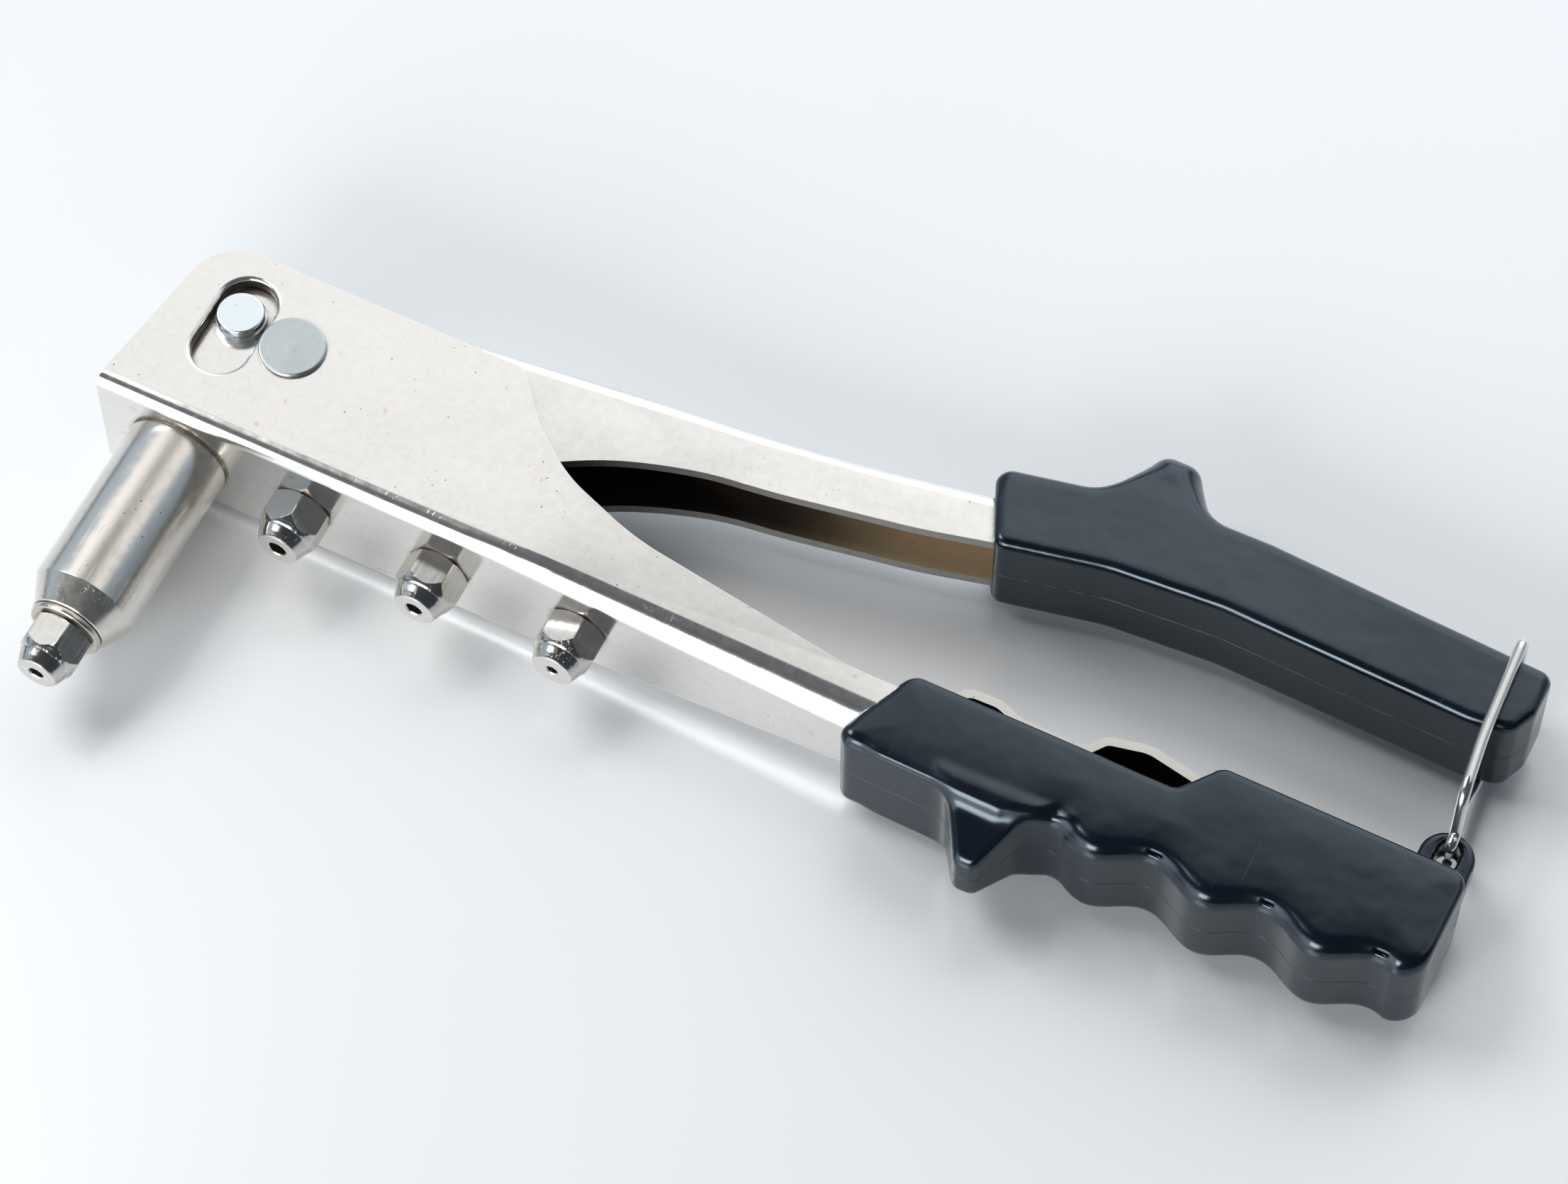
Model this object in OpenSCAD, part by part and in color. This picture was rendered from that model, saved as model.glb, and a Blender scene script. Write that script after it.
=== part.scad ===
// Hand riveter: a sheet-steel frame with a nose barrel, a lever that pulls
// the jaws back through a cross pin, two moulded grips, a wire latch and
// three spare nosepieces. Drawn about the barrel's axis: X runs along the
// frame's spine to the handle, Y from the spine to the lever, Z across.

/* [Frame] */
// Width over the frame's cheeks at the head
frame_w = 26.5; // [25:0.5:33]
// Width of the frame's channel inside the grip
grip_channel_w = 19.5; // [16:0.5:20]
// Thickness of the frame's sheet
frame_t = 2.2; // [1.6:0.1:2.6]
// Height of the frame's cheeks at the head
head_h = 34; // [32:0.5:42]
// Height of the frame's cheeks where they enter the grip
tail_h = 9; // [7:0.5:10]
// Distance from the barrel's axis to the head end
head_back = 14.8; // [12:0.2:18]
// Distance from the barrel's axis to the handle end of the spine
spine_len = 222; // [185:1:267]
// Outer radius of the bends along the spine
bend_r = 2.6; // [1.8:0.1:3]

/* [Pivot and carrier pin] */
// Distance of the lever's pivot from the barrel's axis, along the spine
pivot_x = 12; // [10:0.2:14]
// Height of the pivot above the spine's outer face
pivot_y = 20; // [19:0.2:24]
// Diameter of the pivot rivet's shank
pivot_d = 6; // [5:0.2:7]
// Diameter of the rivet's heads
rivet_head_d = 11.6; // [10:0.2:13]
// Thickness of the rivet's heads
rivet_head_t = 0.8; // [0.6:0.1:1.4]
// Distance from the pivot to the carrier pin
pin_arm = 11.6; // [11:0.1:12.4]
// Angle of the carrier pin about the pivot, above the spine's direction
pin_angle = 11.5; // [5:0.5:16]
// Diameter of the carrier pin where it shows in the frame's slots
pin_d = 8.9; // [7.5:0.1:9.2]
// Width of the frame's slots
slot_w = 10; // [9.8:0.1:11]

/* [Barrel and nosepieces] */
// Outer diameter of the barrel
barrel_d = 18.4; // [16:0.2:22]
// Length of the barrel, from the spine to its front face
barrel_len = 37.4; // [34:0.2:46]
// Bore of the barrel
barrel_bore = 12; // [11.6:0.1:12.4]
// Size across the flats of the nosepieces' hexagon
nose_af = 10; // [9:0.5:11]
// Length of a nosepiece outside its seat
nose_len = 9.1; // [8:0.1:12]
// Diameter of a nosepiece's front face
nose_tip_d = 7.3; // [6:0.1:8]
// Thread diameter of the nosepieces
nose_thread_d = 6; // [5:0.5:7]
// Mandrel hole of the mounted nosepiece
nose_bore = 2.6; // [1.8:0.1:3.4]
// Distance between neighbouring spare nosepieces
spare_pitch = 26; // [20:0.5:28]

/* [Lever] */
// Width over the lever's cheeks at the pivot
lever_w = 21.2; // [20:0.1:21.4]
// Width of the lever's channel behind the frame
lever_tail_w = 14.4; // [12:0.2:15]
// Thickness of the lever's sheet
lever_t = 2; // [1.5:0.1:2.4]
// Depth of the lever's channel where it enters the grip
lever_tail_h = 11; // [9:0.5:12]

/* [Grips] */
// Thickness of the lower grip, across the cheeks
lower_grip_w = 21.8; // [21:0.2:24]
// Thickness of the upper grip, across the cheeks
upper_grip_w = 20; // [17.6:0.2:22]
// Wall of the lower grip at its closed end
grip_wall = 2; // [1.4:0.2:3]
// Rounding of the grips' edges
grip_edge = 2.4; // [1.2:0.2:3]

/* [Latch] */
// Diameter of the latch wire
wire_d = 2.2; // [1.6:0.1:3]
// Gap between the latch wire and the upper grip
wire_gap = 0.6; // [0.4:0.1:1.2]

/* [Hidden] */

$fn = 64;
eps = 0.01;

// How far a slot's straight sides stand in from its round ends
side_step = 0.02;
far = 400;

// Clearances per side: a turning fit, the jaws' seat, a loose gap, a sliding gap
fit_gap = 0.05;
seat_gap = 0.1;
loose_gap = 0.3;
slide_gap = 0.4;

// Where the frame narrows from its head to the grip
taper_start = 66;
taper_end = 126;
grip_start = 127;

// Carrier pin and slots
pin_x = pivot_x - pin_arm * cos(pin_angle);
pin_y = pivot_y + pin_arm * sin(pin_angle);
slot_x = pin_x + 0.27;
slot_top = pin_y + 2;
slot_bottom = slot_top - 9.4;

// Lever: the round head, and how far the cheeks clear the frame
lever_head_r = pivot_y - frame_t - slide_gap;
lever_inner_w = lever_w - 2 * lever_t;
washer_t = (frame_w - 2 * frame_t - lever_w) / 2 - 2 * fit_gap;
lever_end = spine_len - 8;

// Barrel front and nosepieces
nose_cone_len = 2.6;
front_wall = 3.4;
washer_len = 1.2;
nose_washer_d = 13;
nose_seat_y = -barrel_len - washer_len;
nose_tip_y = nose_seat_y - nose_len;
nose_thread_len = 5.4;
spigot_d = barrel_bore + 2;
nut_len = 2.6;
barrel_chamfer = 3.2;

// Jaw carrier, along the barrel's axis
rod_d = barrel_bore - 2 * slide_gap;
case_d = barrel_bore - 2 * slide_gap;
bush_d = pivot_d + 3;
eye_half = pivot_x - bush_d / 2 - 3 * loose_gap;
carrier_pin_d = 8;
pin_step = 1.45;
spigot_rod_d = 8;
mandrel_way_d = 3.4;
nut_back_y = -2;
lock_nut_len = 3;
case_back_y = nut_back_y - lock_nut_len;
case_len = 20.5;
case_front_y = case_back_y - case_len;
case_inner_d = case_d - 2.4;
jaw_len = 9;
jaw_front_d = 5.8;
spigot_rod_len = 10;
pusher_d = case_inner_d - 2 * slide_gap;

// Lower grip: length, heights of its rims and its finger side
lower_end = spine_len + 6;
window_rim = tail_h + 3;
window_end = 180;
back_rim = 18.9;
back_channel_h = back_rim - grip_wall;
back_channel_x = window_end + 8;
finger_pitch = 19.7;
finger_mean = 3.1;
finger_wave = 1.7;
finger_first = window_end - 8.8;
front_pad = 4.4;
spur_x = 153.4;
spur_reach = 13.4;
ear_x = spine_len + 0.3;
ear_y = back_rim + 4.8;
ear_r = 5.4;
ear_t = 6;

// Upper grip
upper_end = spine_len + 3.8;
bump_w = 16;

// Latch wire
bail_x = ear_x;
bail_y = ear_y + 1.2;
wire_r = wire_d / 2;
bail_half = upper_grip_w / 2 + wire_gap + wire_r;
bail_top_y = 59.9 + wire_gap + wire_r;
bail_top_x = bail_x - 3.4;
bail_neck_half = ear_t / 2 + loose_gap + wire_r;

// Box of the whole tool, whose bottom centre is the origin
box_x_low = -head_back;
box_x_high = lower_end;
box_y_low = nose_tip_y;
box_y_high = 71.4;
half_thick = frame_w / 2 + rivet_head_t;
box_centre = [(box_x_low + box_x_high) / 2, (box_y_low + box_y_high) / 2];

module place() {
    translate([-box_centre.x, -box_centre.y, half_thick]) children();
}

// Outline with rounded corners: each point is [x, y, radius]
function unit(v) = v / norm(v);
function corner(p, q, r, steps = 8) =
    let (a = unit([p.x - q.x, p.y - q.y]), b = unit([r.x - q.x, r.y - q.y]),
         half = acos(max(-1, min(1, a * b))) / 2,
         reach = q.z / tan(half),
         centre = [q.x, q.y] + unit(a + b) * q.z / sin(half),
         from = [q.x, q.y] + a * reach - centre,
         to = [q.x, q.y] + b * reach - centre,
         start = atan2(from.y, from.x),
         turn = (atan2(to.y, to.x) - start + 540) % 360 - 180)
    [for (i = [0:steps]) centre + q.z * [cos(start + turn * i / steps),
                                         sin(start + turn * i / steps)]];
function rounded(pts) =
    let (n = len(pts))
    [for (i = [0:n - 1])
        for (p = pts[i].z < eps ? [[pts[i].x, pts[i].y]]
                 : corner(pts[(i + n - 1) % n], pts[i], pts[(i + 1) % n])) p];

// A plate between -z and +z with the given XY outline
module plate(pts, thick) {
    linear_extrude(thick, center = true) polygon(pts);
}

// A body between y0 and y1 whose width across Z follows [x, half width]
module width_body(profile, y0, y1) {
    n = len(profile);
    outline = [for (i = [0:n - 1]) profile[i],
               for (i = [n - 1:-1:0]) [profile[i].x, -profile[i].y]];
    translate([0, y1, 0]) rotate([90, 0, 0]) linear_extrude(y1 - y0) polygon(outline);
}

// A cylinder along Y from y0 to y1
module rod_y(d0, d1, y0, y1) {
    translate([0, y0, 0]) rotate([-90, 0, 0]) cylinder(h = y1 - y0, d1 = d0, d2 = d1);
}

// A ring's worth of material along Z
module disc_z(x, y, d, thick, z = 0) {
    translate([x, y, z]) cylinder(h = thick, d = d, center = true);
}

// ---------- frame ----------
cheek_outline = rounded([
    [-head_back, 0, 0],
    [-head_back + 5.2, head_h, 9],
    [48.6, head_h, 2.4],
    [56, 25.4, 14],
    [65, 18.6, 26],
    [80, 13.4, 50],
    [121, tail_h - 0.2, 8],
    [back_channel_x - 5, tail_h, 0],
    [back_channel_x, back_channel_h, 0],
    [spine_len, back_channel_h, 0],
    [spine_len, 0, 0]]);

function frame_profile(inset) = [
    [-far / 4, frame_w / 2 - inset],
    [taper_start, frame_w / 2 - inset],
    [taper_end, grip_channel_w / 2 - inset],
    [far, grip_channel_w / 2 - inset]];

// Outside of the bent sheet: the same rounded U at each [x, half width]
bend_steps = 6;
bend_side = concat([[head_h + 1, 0]],
    [for (i = [0:bend_steps])
        let (a = 90 * i / bend_steps)
        bend_r * [1 - sin(a), 1 - cos(a)]]);
bend_count = len(bend_side);
ring_count = 2 * bend_count;

function bend_ring(x, half) = concat(
    [for (p = bend_side) [x, p.x, p.y - half]],
    [for (i = [bend_count - 1:-1:0]) [x, bend_side[i].x, half - bend_side[i].y]]);

module bent_outside(profile) {
    last = (len(profile) - 1) * ring_count;
    sides = [for (k = [0:len(profile) - 2]) for (j = [0:ring_count - 1])
        let (a = k * ring_count, next = (j + 1) % ring_count)
        [a + j, a + next, a + ring_count + next, a + ring_count + j]];
    polyhedron([for (p = profile) for (q = bend_ring(p.x, p.y)) q],
               concat([[for (j = [ring_count - 1:-1:0]) j]], sides,
                      [[for (j = [0:ring_count - 1]) last + j]]));
}

module slots() {
    for (y = [slot_bottom, slot_top]) disc_z(slot_x, y, slot_w, frame_w + 2);
    translate([slot_x - slot_w / 2 + side_step, slot_bottom, -frame_w / 2 - 1])
        cube([slot_w - 2 * side_step, slot_top - slot_bottom, frame_w + 2]);
}

module frame() {
    color([0.86, 0.85, 0.82]) place() difference() {
        intersection() {
            plate(cheek_outline, frame_w + 2);
            bent_outside(frame_profile(0));
        }
        width_body(frame_profile(frame_t), frame_t, head_h + 2);
        slots();
        disc_z(pivot_x, pivot_y, pivot_d, frame_w + 2);
        rod_y(spigot_d, spigot_d, -1, frame_t + 1);
        for (i = [1:3]) translate([spare_x(i), 0, 0])
            rod_y(nose_thread_d, nose_thread_d, -1, frame_t + 1);
    }
}

// ---------- lower grip ----------
finger_side = [
    for (x = [window_end - 16:2.2:lower_end - 3])
        [x, -finger_mean - finger_wave * cos((x - finger_first) * 360 / finger_pitch)]];

lower_outline = concat(
    rounded([
        [spur_x + 8.6, -2.6, 0],
        [spur_x + 7.2, -2.6, 0],
        [spur_x + 1.4, -front_pad, 0],
        [spur_x - 12, -front_pad, 0],
        [grip_start - 1.4, -front_pad, 2.2],
        [grip_start + 1, 2, 8],
        [grip_start + 4.8, window_rim, 3.6],
        [window_end - 1, window_rim, 2],
        [window_end + 4.4, back_rim, 4],
        [lower_end, back_rim - 0.2, 3.4],
        [lower_end, -1.6, 3]]),
    [for (i = [len(finger_side) - 1:-1:0]) finger_side[i]]);

// Solid with the given outline, its long edges stepped down to a rounding
module soft_plate(pts, thick, edge) {
    steps = 3;
    linear_extrude(thick - 2 * edge, center = true) polygon(pts);
    for (i = [1:steps]) {
        sink = edge * (1 - cos(90 * i / (steps + 0.5)));
        rise = edge * sin(90 * i / (steps + 0.5));
        linear_extrude(thick - 2 * edge + 2 * rise, center = true)
            offset(delta = -sink) polygon(pts);
    }
}

module spur() {
    hull() {
        translate([spur_x, -spur_reach + 2, 0])
            cylinder(h = 5, r = 2, center = true, $fn = 32);
        translate([spur_x - 1, -front_pad + 0.6, 0]) cube([15, 1, 16.4], center = true);
    }
}

module ear() {
    disc_z(ear_x, ear_y, 2 * ear_r, ear_t);
    translate([ear_x - ear_r, back_rim - 3, -ear_t / 2])
        cube([2 * ear_r, ear_y - back_rim + 3, ear_t]);
}

module ear_hole() {
    disc_z(bail_x, bail_y, wire_d + 1.6, ear_t + 2);
    disc_z(bail_x, bail_y - 2, wire_d + 1.6, ear_t + 2);
    translate([bail_x - wire_r - 0.8 + side_step, bail_y - 2, -ear_t / 2 - 1])
        cube([wire_d + 1.6 - 2 * side_step, 2, ear_t + 2]);
}

module lower_grip() {
    color([0.13, 0.14, 0.16]) place() difference() {
        union() {
            soft_plate(lower_outline, lower_grip_w, grip_edge);
            spur();
            ear();
        }
        width_body([[0, grip_channel_w / 2], [spine_len, grip_channel_w / 2]], 0, tail_h);
        width_body([[back_channel_x - 9, grip_channel_w / 2],
                    [spine_len, grip_channel_w / 2]], 0, back_channel_h);
        width_body([[grip_start + 7, grip_channel_w / 2],
                    [back_channel_x - 4, grip_channel_w / 2]], 0, back_rim + 2);
        ear_hole();
    }
}

// ---------- barrel and nose ----------
module barrel() {
    color([0.84, 0.83, 0.80]) place() difference() {
        union() {
            rod_y(barrel_d, barrel_d, -barrel_len + barrel_chamfer + 1.4, 0);
            rod_y(barrel_d - 1.4, barrel_d, -barrel_len + barrel_chamfer,
                  -barrel_len + barrel_chamfer + 1.4);
            rod_y(nose_washer_d, barrel_d - 1.4, -barrel_len, -barrel_len + barrel_chamfer);
            rod_y(spigot_d, spigot_d, -1, frame_t + nut_len);
        }
        rod_y(barrel_bore, barrel_bore, -barrel_len + front_wall, far / 4);
        rod_y(nose_thread_d, nose_thread_d, -barrel_len - 1, 0);
    }
}

module barrel_nut() {
    color([0.62, 0.62, 0.60]) place() difference() {
        translate([0, frame_t, 0]) rotate([-90, 0, 0])
            cylinder(h = nut_len, d = min(lever_inner_w - 2 * loose_gap, 2 * (lever_head_r - 1)));
        rod_y(spigot_d, spigot_d, 0, frame_t + nut_len + 1);
        for (side = [0, 1]) mirror([0, 0, side])
            translate([-far / 2, frame_t + nut_len / 2, spigot_d / 2 + 0.4])
                cube([far, nut_len, far / 4]);
    }
}

module nose_washer() {
    color([0.80, 0.78, 0.72]) place() difference() {
        rod_y(nose_washer_d, nose_washer_d, nose_seat_y, -barrel_len);
        rod_y(nose_thread_d + 0.2, nose_thread_d + 0.2, nose_seat_y - 1, 0);
    }
}

function spare_x(i) = spare_pitch * i - 2;

// A nosepiece with its seat at the origin and its tip towards -Y
module nosepiece(hole) {
    corner_d = nose_af / cos(30);
    difference() {
        union() {
            intersection() {
                rotate([90, 0, 0]) rotate([0, 0, 15])
                    cylinder(h = nose_len - nose_cone_len, d = corner_d, $fn = 6);
                union() {
                    rod_y(corner_d + 0.2, nose_af - 0.4, -1.1, 0);
                    rod_y(corner_d + 0.2, corner_d + 0.2, -nose_len + nose_cone_len + 1.3,
                          -1.1);
                    rod_y(nose_af - 0.7, corner_d + 0.2, -nose_len + nose_cone_len,
                          -nose_len + nose_cone_len + 1.3);
                }
            }
            rod_y(nose_tip_d + 1.2, nose_af - 0.7, -nose_len + 0.7, -nose_len + nose_cone_len);
            rod_y(nose_tip_d, nose_tip_d + 1.2, -nose_len, -nose_len + 0.7);
            rod_y(nose_thread_d, nose_thread_d, 0, nose_thread_len);
        }
        rod_y(hole, hole, -nose_len - 1, nose_thread_len + 1);
        rod_y(4, 4, -1, nose_thread_len + 1);
    }
}

module mounted_nosepiece() {
    color([0.82, 0.82, 0.80]) place() translate([0, nose_seat_y, 0]) nosepiece(nose_bore);
}

module spare(i, hole) {
    color([0.82, 0.82, 0.80]) place() translate([spare_x(i), 0, 0]) nosepiece(hole);
}

module spare_nosepiece_large() { spare(1, nose_bore + 0.6); }
module spare_nosepiece_medium() { spare(2, nose_bore + 0.3); }
module spare_nosepiece_small() { spare(3, nose_bore - 0.65); }

// ---------- pivot ----------
module pivot_rivet() {
    color([0.60, 0.63, 0.64]) place() {
        disc_z(pivot_x, pivot_y, pivot_d, frame_w + 0.2);
        for (side = [0, 1]) mirror([0, 0, side]) {
            translate([pivot_x, pivot_y, frame_w / 2])
                cylinder(h = rivet_head_t * 0.6, d = rivet_head_d);
            translate([pivot_x, pivot_y, frame_w / 2 + rivet_head_t * 0.6])
                cylinder(h = rivet_head_t * 0.4, d1 = rivet_head_d, d2 = rivet_head_d - 0.8);
        }
    }
}

module pivot_bush() {
    color([0.66, 0.62, 0.50]) place() difference() {
        disc_z(pivot_x, pivot_y, bush_d, lever_inner_w - 2 * fit_gap);
        disc_z(pivot_x, pivot_y, pivot_d, frame_w);
    }
}

module pivot_washers() {
    color([0.70, 0.70, 0.68]) place() for (side = [0, 1]) mirror([0, 0, side])
        translate([0, 0, lever_w / 2]) difference() {
            disc_z(pivot_x, pivot_y, pivot_d + 6, washer_t, washer_t / 2);
            disc_z(pivot_x, pivot_y, pivot_d + 2 * fit_gap, 4 * washer_t);
        }
}

// ---------- wrench in the handle ----------
wrench_t = 1.6;
wrench_hole = 29;
wrench_w = grip_channel_w - 2 * frame_t - 2 * slide_gap;
wrench_path = rounded([
    [grip_start + 3, frame_t + wrench_t / 2 + fit_gap, 0],
    [grip_start + 9, frame_t + wrench_t / 2 + fit_gap, 2.4],
    [grip_start + 13.5, window_rim + 2.5, 3],
    [grip_start + 19.5, window_rim + 2.7, 5],
    [grip_start + 24, window_rim + 1, 6],
    [grip_start + 35.5, window_rim + 1, 2],
    [grip_start + 38, window_rim + 4.4, 2.6],
    [grip_start + 45, window_rim + 6, 7],
    [back_channel_x - 5, window_rim + 4, 6],
    [back_channel_x + 4, back_channel_h - wrench_t / 2 - fit_gap, 3],
    [back_channel_x + 12, back_channel_h - wrench_t / 2 - fit_gap, 0]]);

// Strip of even thickness along a path: each point moves off along its normal
function strip(path, off) =
    [for (i = [0:len(path) - 1])
        let (a = path[max(i - 1, 0)], b = path[min(i + 1, len(path) - 1)], d = unit(b - a))
        path[i] + off * [-d.y, d.x]];

module nosepiece_wrench() {
    edge = strip(wrench_path, wrench_t / 2);
    back = strip(wrench_path, -wrench_t / 2);
    color([0.74, 0.73, 0.70]) place() difference() {
        plate(concat(edge, [for (i = [len(back) - 1:-1:0]) back[i]]), wrench_w);
        translate([grip_start + wrench_hole, 0, 0]) rotate([-90, 0, 0])
            cylinder(h = far, d = nose_af * 1.02 / cos(30), $fn = 6);
    }
}

// ---------- lever ----------
lever_back = [
    [20, 34.2], [66, 41.3], [104, 46.4], [taper_end, 50.2], [150, 54.6],
    [168, 57], [lever_end, 56.4]];
lever_front = [
    [lever_end, 56.4 - lever_tail_h + 1.2], [168, 48], [150, 45.4],
    [taper_end + 6, 42.1], [taper_end - 5, 39], [84, 32.8], [72, 28.6], [62, 23.6],
    [44, 14], [26, 7.6]];

function lever_profile(inset) = [
    [-far / 4, lever_w / 2 - inset],
    [30, lever_w / 2 - inset],
    [90, lever_tail_w / 2 - inset],
    [far, lever_tail_w / 2 - inset]];

module lever_shape() {
    disc_z(pivot_x, pivot_y, 2 * lever_head_r, lever_w + 2);
    plate(concat([[pivot_x - 4, head_h - 1.5]], lever_back, lever_front,
                 [[pivot_x, pivot_y - lever_head_r + 0.4]]), lever_w + 2);
}

// Room inside the channel: everything nearer the frame than the web
module lever_room() {
    under = [for (i = [len(lever_back) - 1:-1:0]) lever_back[i] - [0, lever_t * 1.02]];
    plate(concat([[-far / 4, -far / 4], [far, -far / 4], [far, under[0].y]], under,
                 [[20, far / 4], [-far / 4, far / 4]]), far);
}

module lever() {
    color([0.86, 0.85, 0.82]) place() difference() {
        intersection() {
            lever_shape();
            width_body(lever_profile(0), 0, 80);
        }
        intersection() {
            lever_room();
            width_body(lever_profile(lever_t), -1, 90);
        }
        disc_z(pivot_x, pivot_y, pivot_d + 2 * fit_gap, frame_w);
        disc_z(pin_x, pin_y, pin_d, frame_w);
    }
}

// ---------- upper grip ----------
upper_outline = rounded([
    [grip_start + 5.6, 40.2, 2.4],
    [152, 44.4, 30],
    [172, 46, 30],
    [upper_end - 8, 44.8, 20],
    [upper_end - 2, 46, 3],
    [upper_end, 51, 3],
    [upper_end, 59.4, 2.2],
    [200, 60.6, 60],
    [174, 62, 14],
    [162.6, 61.8, 5],
    [156.4, box_y_high, 3.1],
    [150.6, box_y_high, 2.9],
    [145, 59.2, 7],
    [grip_start - 1.8, 55.2, 2.6]]);
bump_cut_y = 61.4;

module upper_grip() {
    color([0.13, 0.14, 0.16]) place() difference() {
        union() {
            intersection() {
                soft_plate(upper_outline, upper_grip_w, grip_edge);
                translate([0, 0, -far / 2]) cube([far, bump_cut_y, far]);
            }
            intersection() {
                soft_plate(upper_outline, bump_w, grip_edge);
                translate([0, bump_cut_y - 3, -far / 2]) cube([far, far, far]);
            }
        }
        intersection() {
            lever_shape();
            width_body(lever_profile(0), 0, 80);
        }
    }
}

// ---------- carrier pin and jaws ----------
module carrier_pin() {
    color([0.86, 0.90, 0.93]) place() {
        disc_z(pin_x, pin_y, carrier_pin_d, lever_inner_w + 1);
        for (side = [0, 1]) mirror([0, 0, side]) {
            translate([pin_x, pin_y, lever_inner_w / 2]) {
                cylinder(h = frame_w / 2 - lever_inner_w / 2 - pin_step, d = pin_d);
                cylinder(h = frame_w / 2 - lever_inner_w / 2 + 0.15, d = pin_d - 0.7);
            }
        }
    }
}

module jaw_carrier() {
    color([0.50, 0.50, 0.50]) place() difference() {
        union() {
            translate([-eye_half, pin_y - 7, -lever_inner_w / 2 + 1])
                cube([2 * eye_half, 13.4, lever_inner_w - 2]);
            rod_y(rod_d, rod_d, nut_back_y, pin_y - 6);
            rod_y(spigot_rod_d, spigot_rod_d, nut_back_y - spigot_rod_len, 0);
        }
        disc_z(pin_x, pin_y, carrier_pin_d + 2 * loose_gap + 0.2, far);
        rod_y(mandrel_way_d, mandrel_way_d, nut_back_y - spigot_rod_len - 1, pin_y);
    }
}

module lock_nut() {
    color([0.45, 0.45, 0.46]) place() difference() {
        translate([0, case_back_y, 0]) rotate([-90, 0, 0])
            cylinder(h = lock_nut_len, d = case_d, $fn = 6);
        rod_y(spigot_rod_d, spigot_rod_d, -far / 4, 1);
    }
}

module jaw_case() {
    color([0.38, 0.38, 0.40]) place() difference() {
        rod_y(case_d, case_d, case_front_y, case_back_y);
        rod_y(spigot_rod_d, spigot_rod_d, case_back_y - 7, case_back_y + 1);
        rod_y(case_inner_d, case_inner_d, case_front_y + jaw_len, case_back_y - 6);
        rod_y(jaw_front_d, case_inner_d, case_front_y, case_front_y + jaw_len);
        rod_y(jaw_front_d, jaw_front_d, case_front_y - 1, case_front_y + 1);
    }
}

// One half of the split cone that grips the mandrel
module jaw(side) {
    color([0.55, 0.54, 0.50]) place() difference() {
        rod_y(jaw_front_d - 2 * seat_gap, case_inner_d - 2 * seat_gap, case_front_y,
              case_front_y + jaw_len - fit_gap);
        rod_y(1.6, 1.6, case_front_y - 1, case_front_y + jaw_len + 1);
        rod_y(1, 4.4, case_front_y + jaw_len - 1.8, case_front_y + jaw_len + 0.1);
        mirror([side, 0, 0]) translate([-0.2, case_front_y - 1, -10]) cube([20, 20, 20]);
    }
}

module jaw_left() { jaw(0); }
module jaw_right() { jaw(1); }

pusher_front_y = case_front_y + jaw_len;
module jaw_pusher() {
    color([0.64, 0.60, 0.48]) place() difference() {
        union() {
            rod_y(pusher_d, pusher_d, pusher_front_y, pusher_front_y + 1.6);
            rod_y(4.8, 4.8, pusher_front_y, pusher_front_y + 3);
        }
        rod_y(mandrel_way_d, mandrel_way_d, pusher_front_y - 1, pusher_front_y + 4);
    }
}

// Compression spring between the pusher and the carrier's spigot
spring_wire = 0.8;
spring_back_y = nut_back_y - spigot_rod_len;
spring_front_y = pusher_front_y + 1.6;
spring_turns = 4;
spring_r = pusher_d / 2 - 0.5;
module pusher_spring() {
    lift = (spring_back_y - spring_front_y - spring_wire) / (spring_turns - 1);
    color([0.55, 0.56, 0.58]) place() for (i = [0:spring_turns - 1])
        translate([0, spring_front_y + spring_wire / 2 + i * lift, 0]) rotate([90, 0, 0])
            rotate_extrude() translate([spring_r, 0]) circle(d = spring_wire, $fn = 24);
}

// ---------- latch wire ----------
bail_points = [
    [bail_top_x, bail_top_y, bail_half],
    [bail_x - 1.1, bail_y + 6.4, bail_half],
    [bail_x, bail_y + 2, bail_neck_half],
    [bail_x, bail_y, bail_neck_half],
    [bail_x, bail_y, ear_t / 4]];

module wire(a, b) {
    d = b - a;
    translate(a) rotate([0, acos(d.z / norm(d)), atan2(d.y, d.x)])
        cylinder(h = norm(d), d = wire_d, $fn = 32);
    translate(b) sphere(d = wire_d + 2 * fit_gap, $fn = 32);
}

module bail_wire() {
    color([0.80, 0.79, 0.76]) place() {
        wire([bail_top_x, bail_top_y, -bail_half], [bail_top_x, bail_top_y, bail_half]);
        for (side = [0, 1]) mirror([0, 0, side])
            for (i = [0:len(bail_points) - 2]) wire(bail_points[i], bail_points[i + 1]);
    }
}

frame();
lower_grip();
barrel();
barrel_nut();
nose_washer();
mounted_nosepiece();
spare_nosepiece_large();
spare_nosepiece_medium();
spare_nosepiece_small();
pivot_rivet();
pivot_bush();
nosepiece_wrench();
lever();
upper_grip();
pivot_washers();
carrier_pin();
jaw_carrier();
lock_nut();
jaw_case();
jaw_left();
jaw_right();
jaw_pusher();
pusher_spring();
bail_wire();
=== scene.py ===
import math

import bmesh
import bpy
import numpy as np
from mathutils import Matrix, Vector

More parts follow.
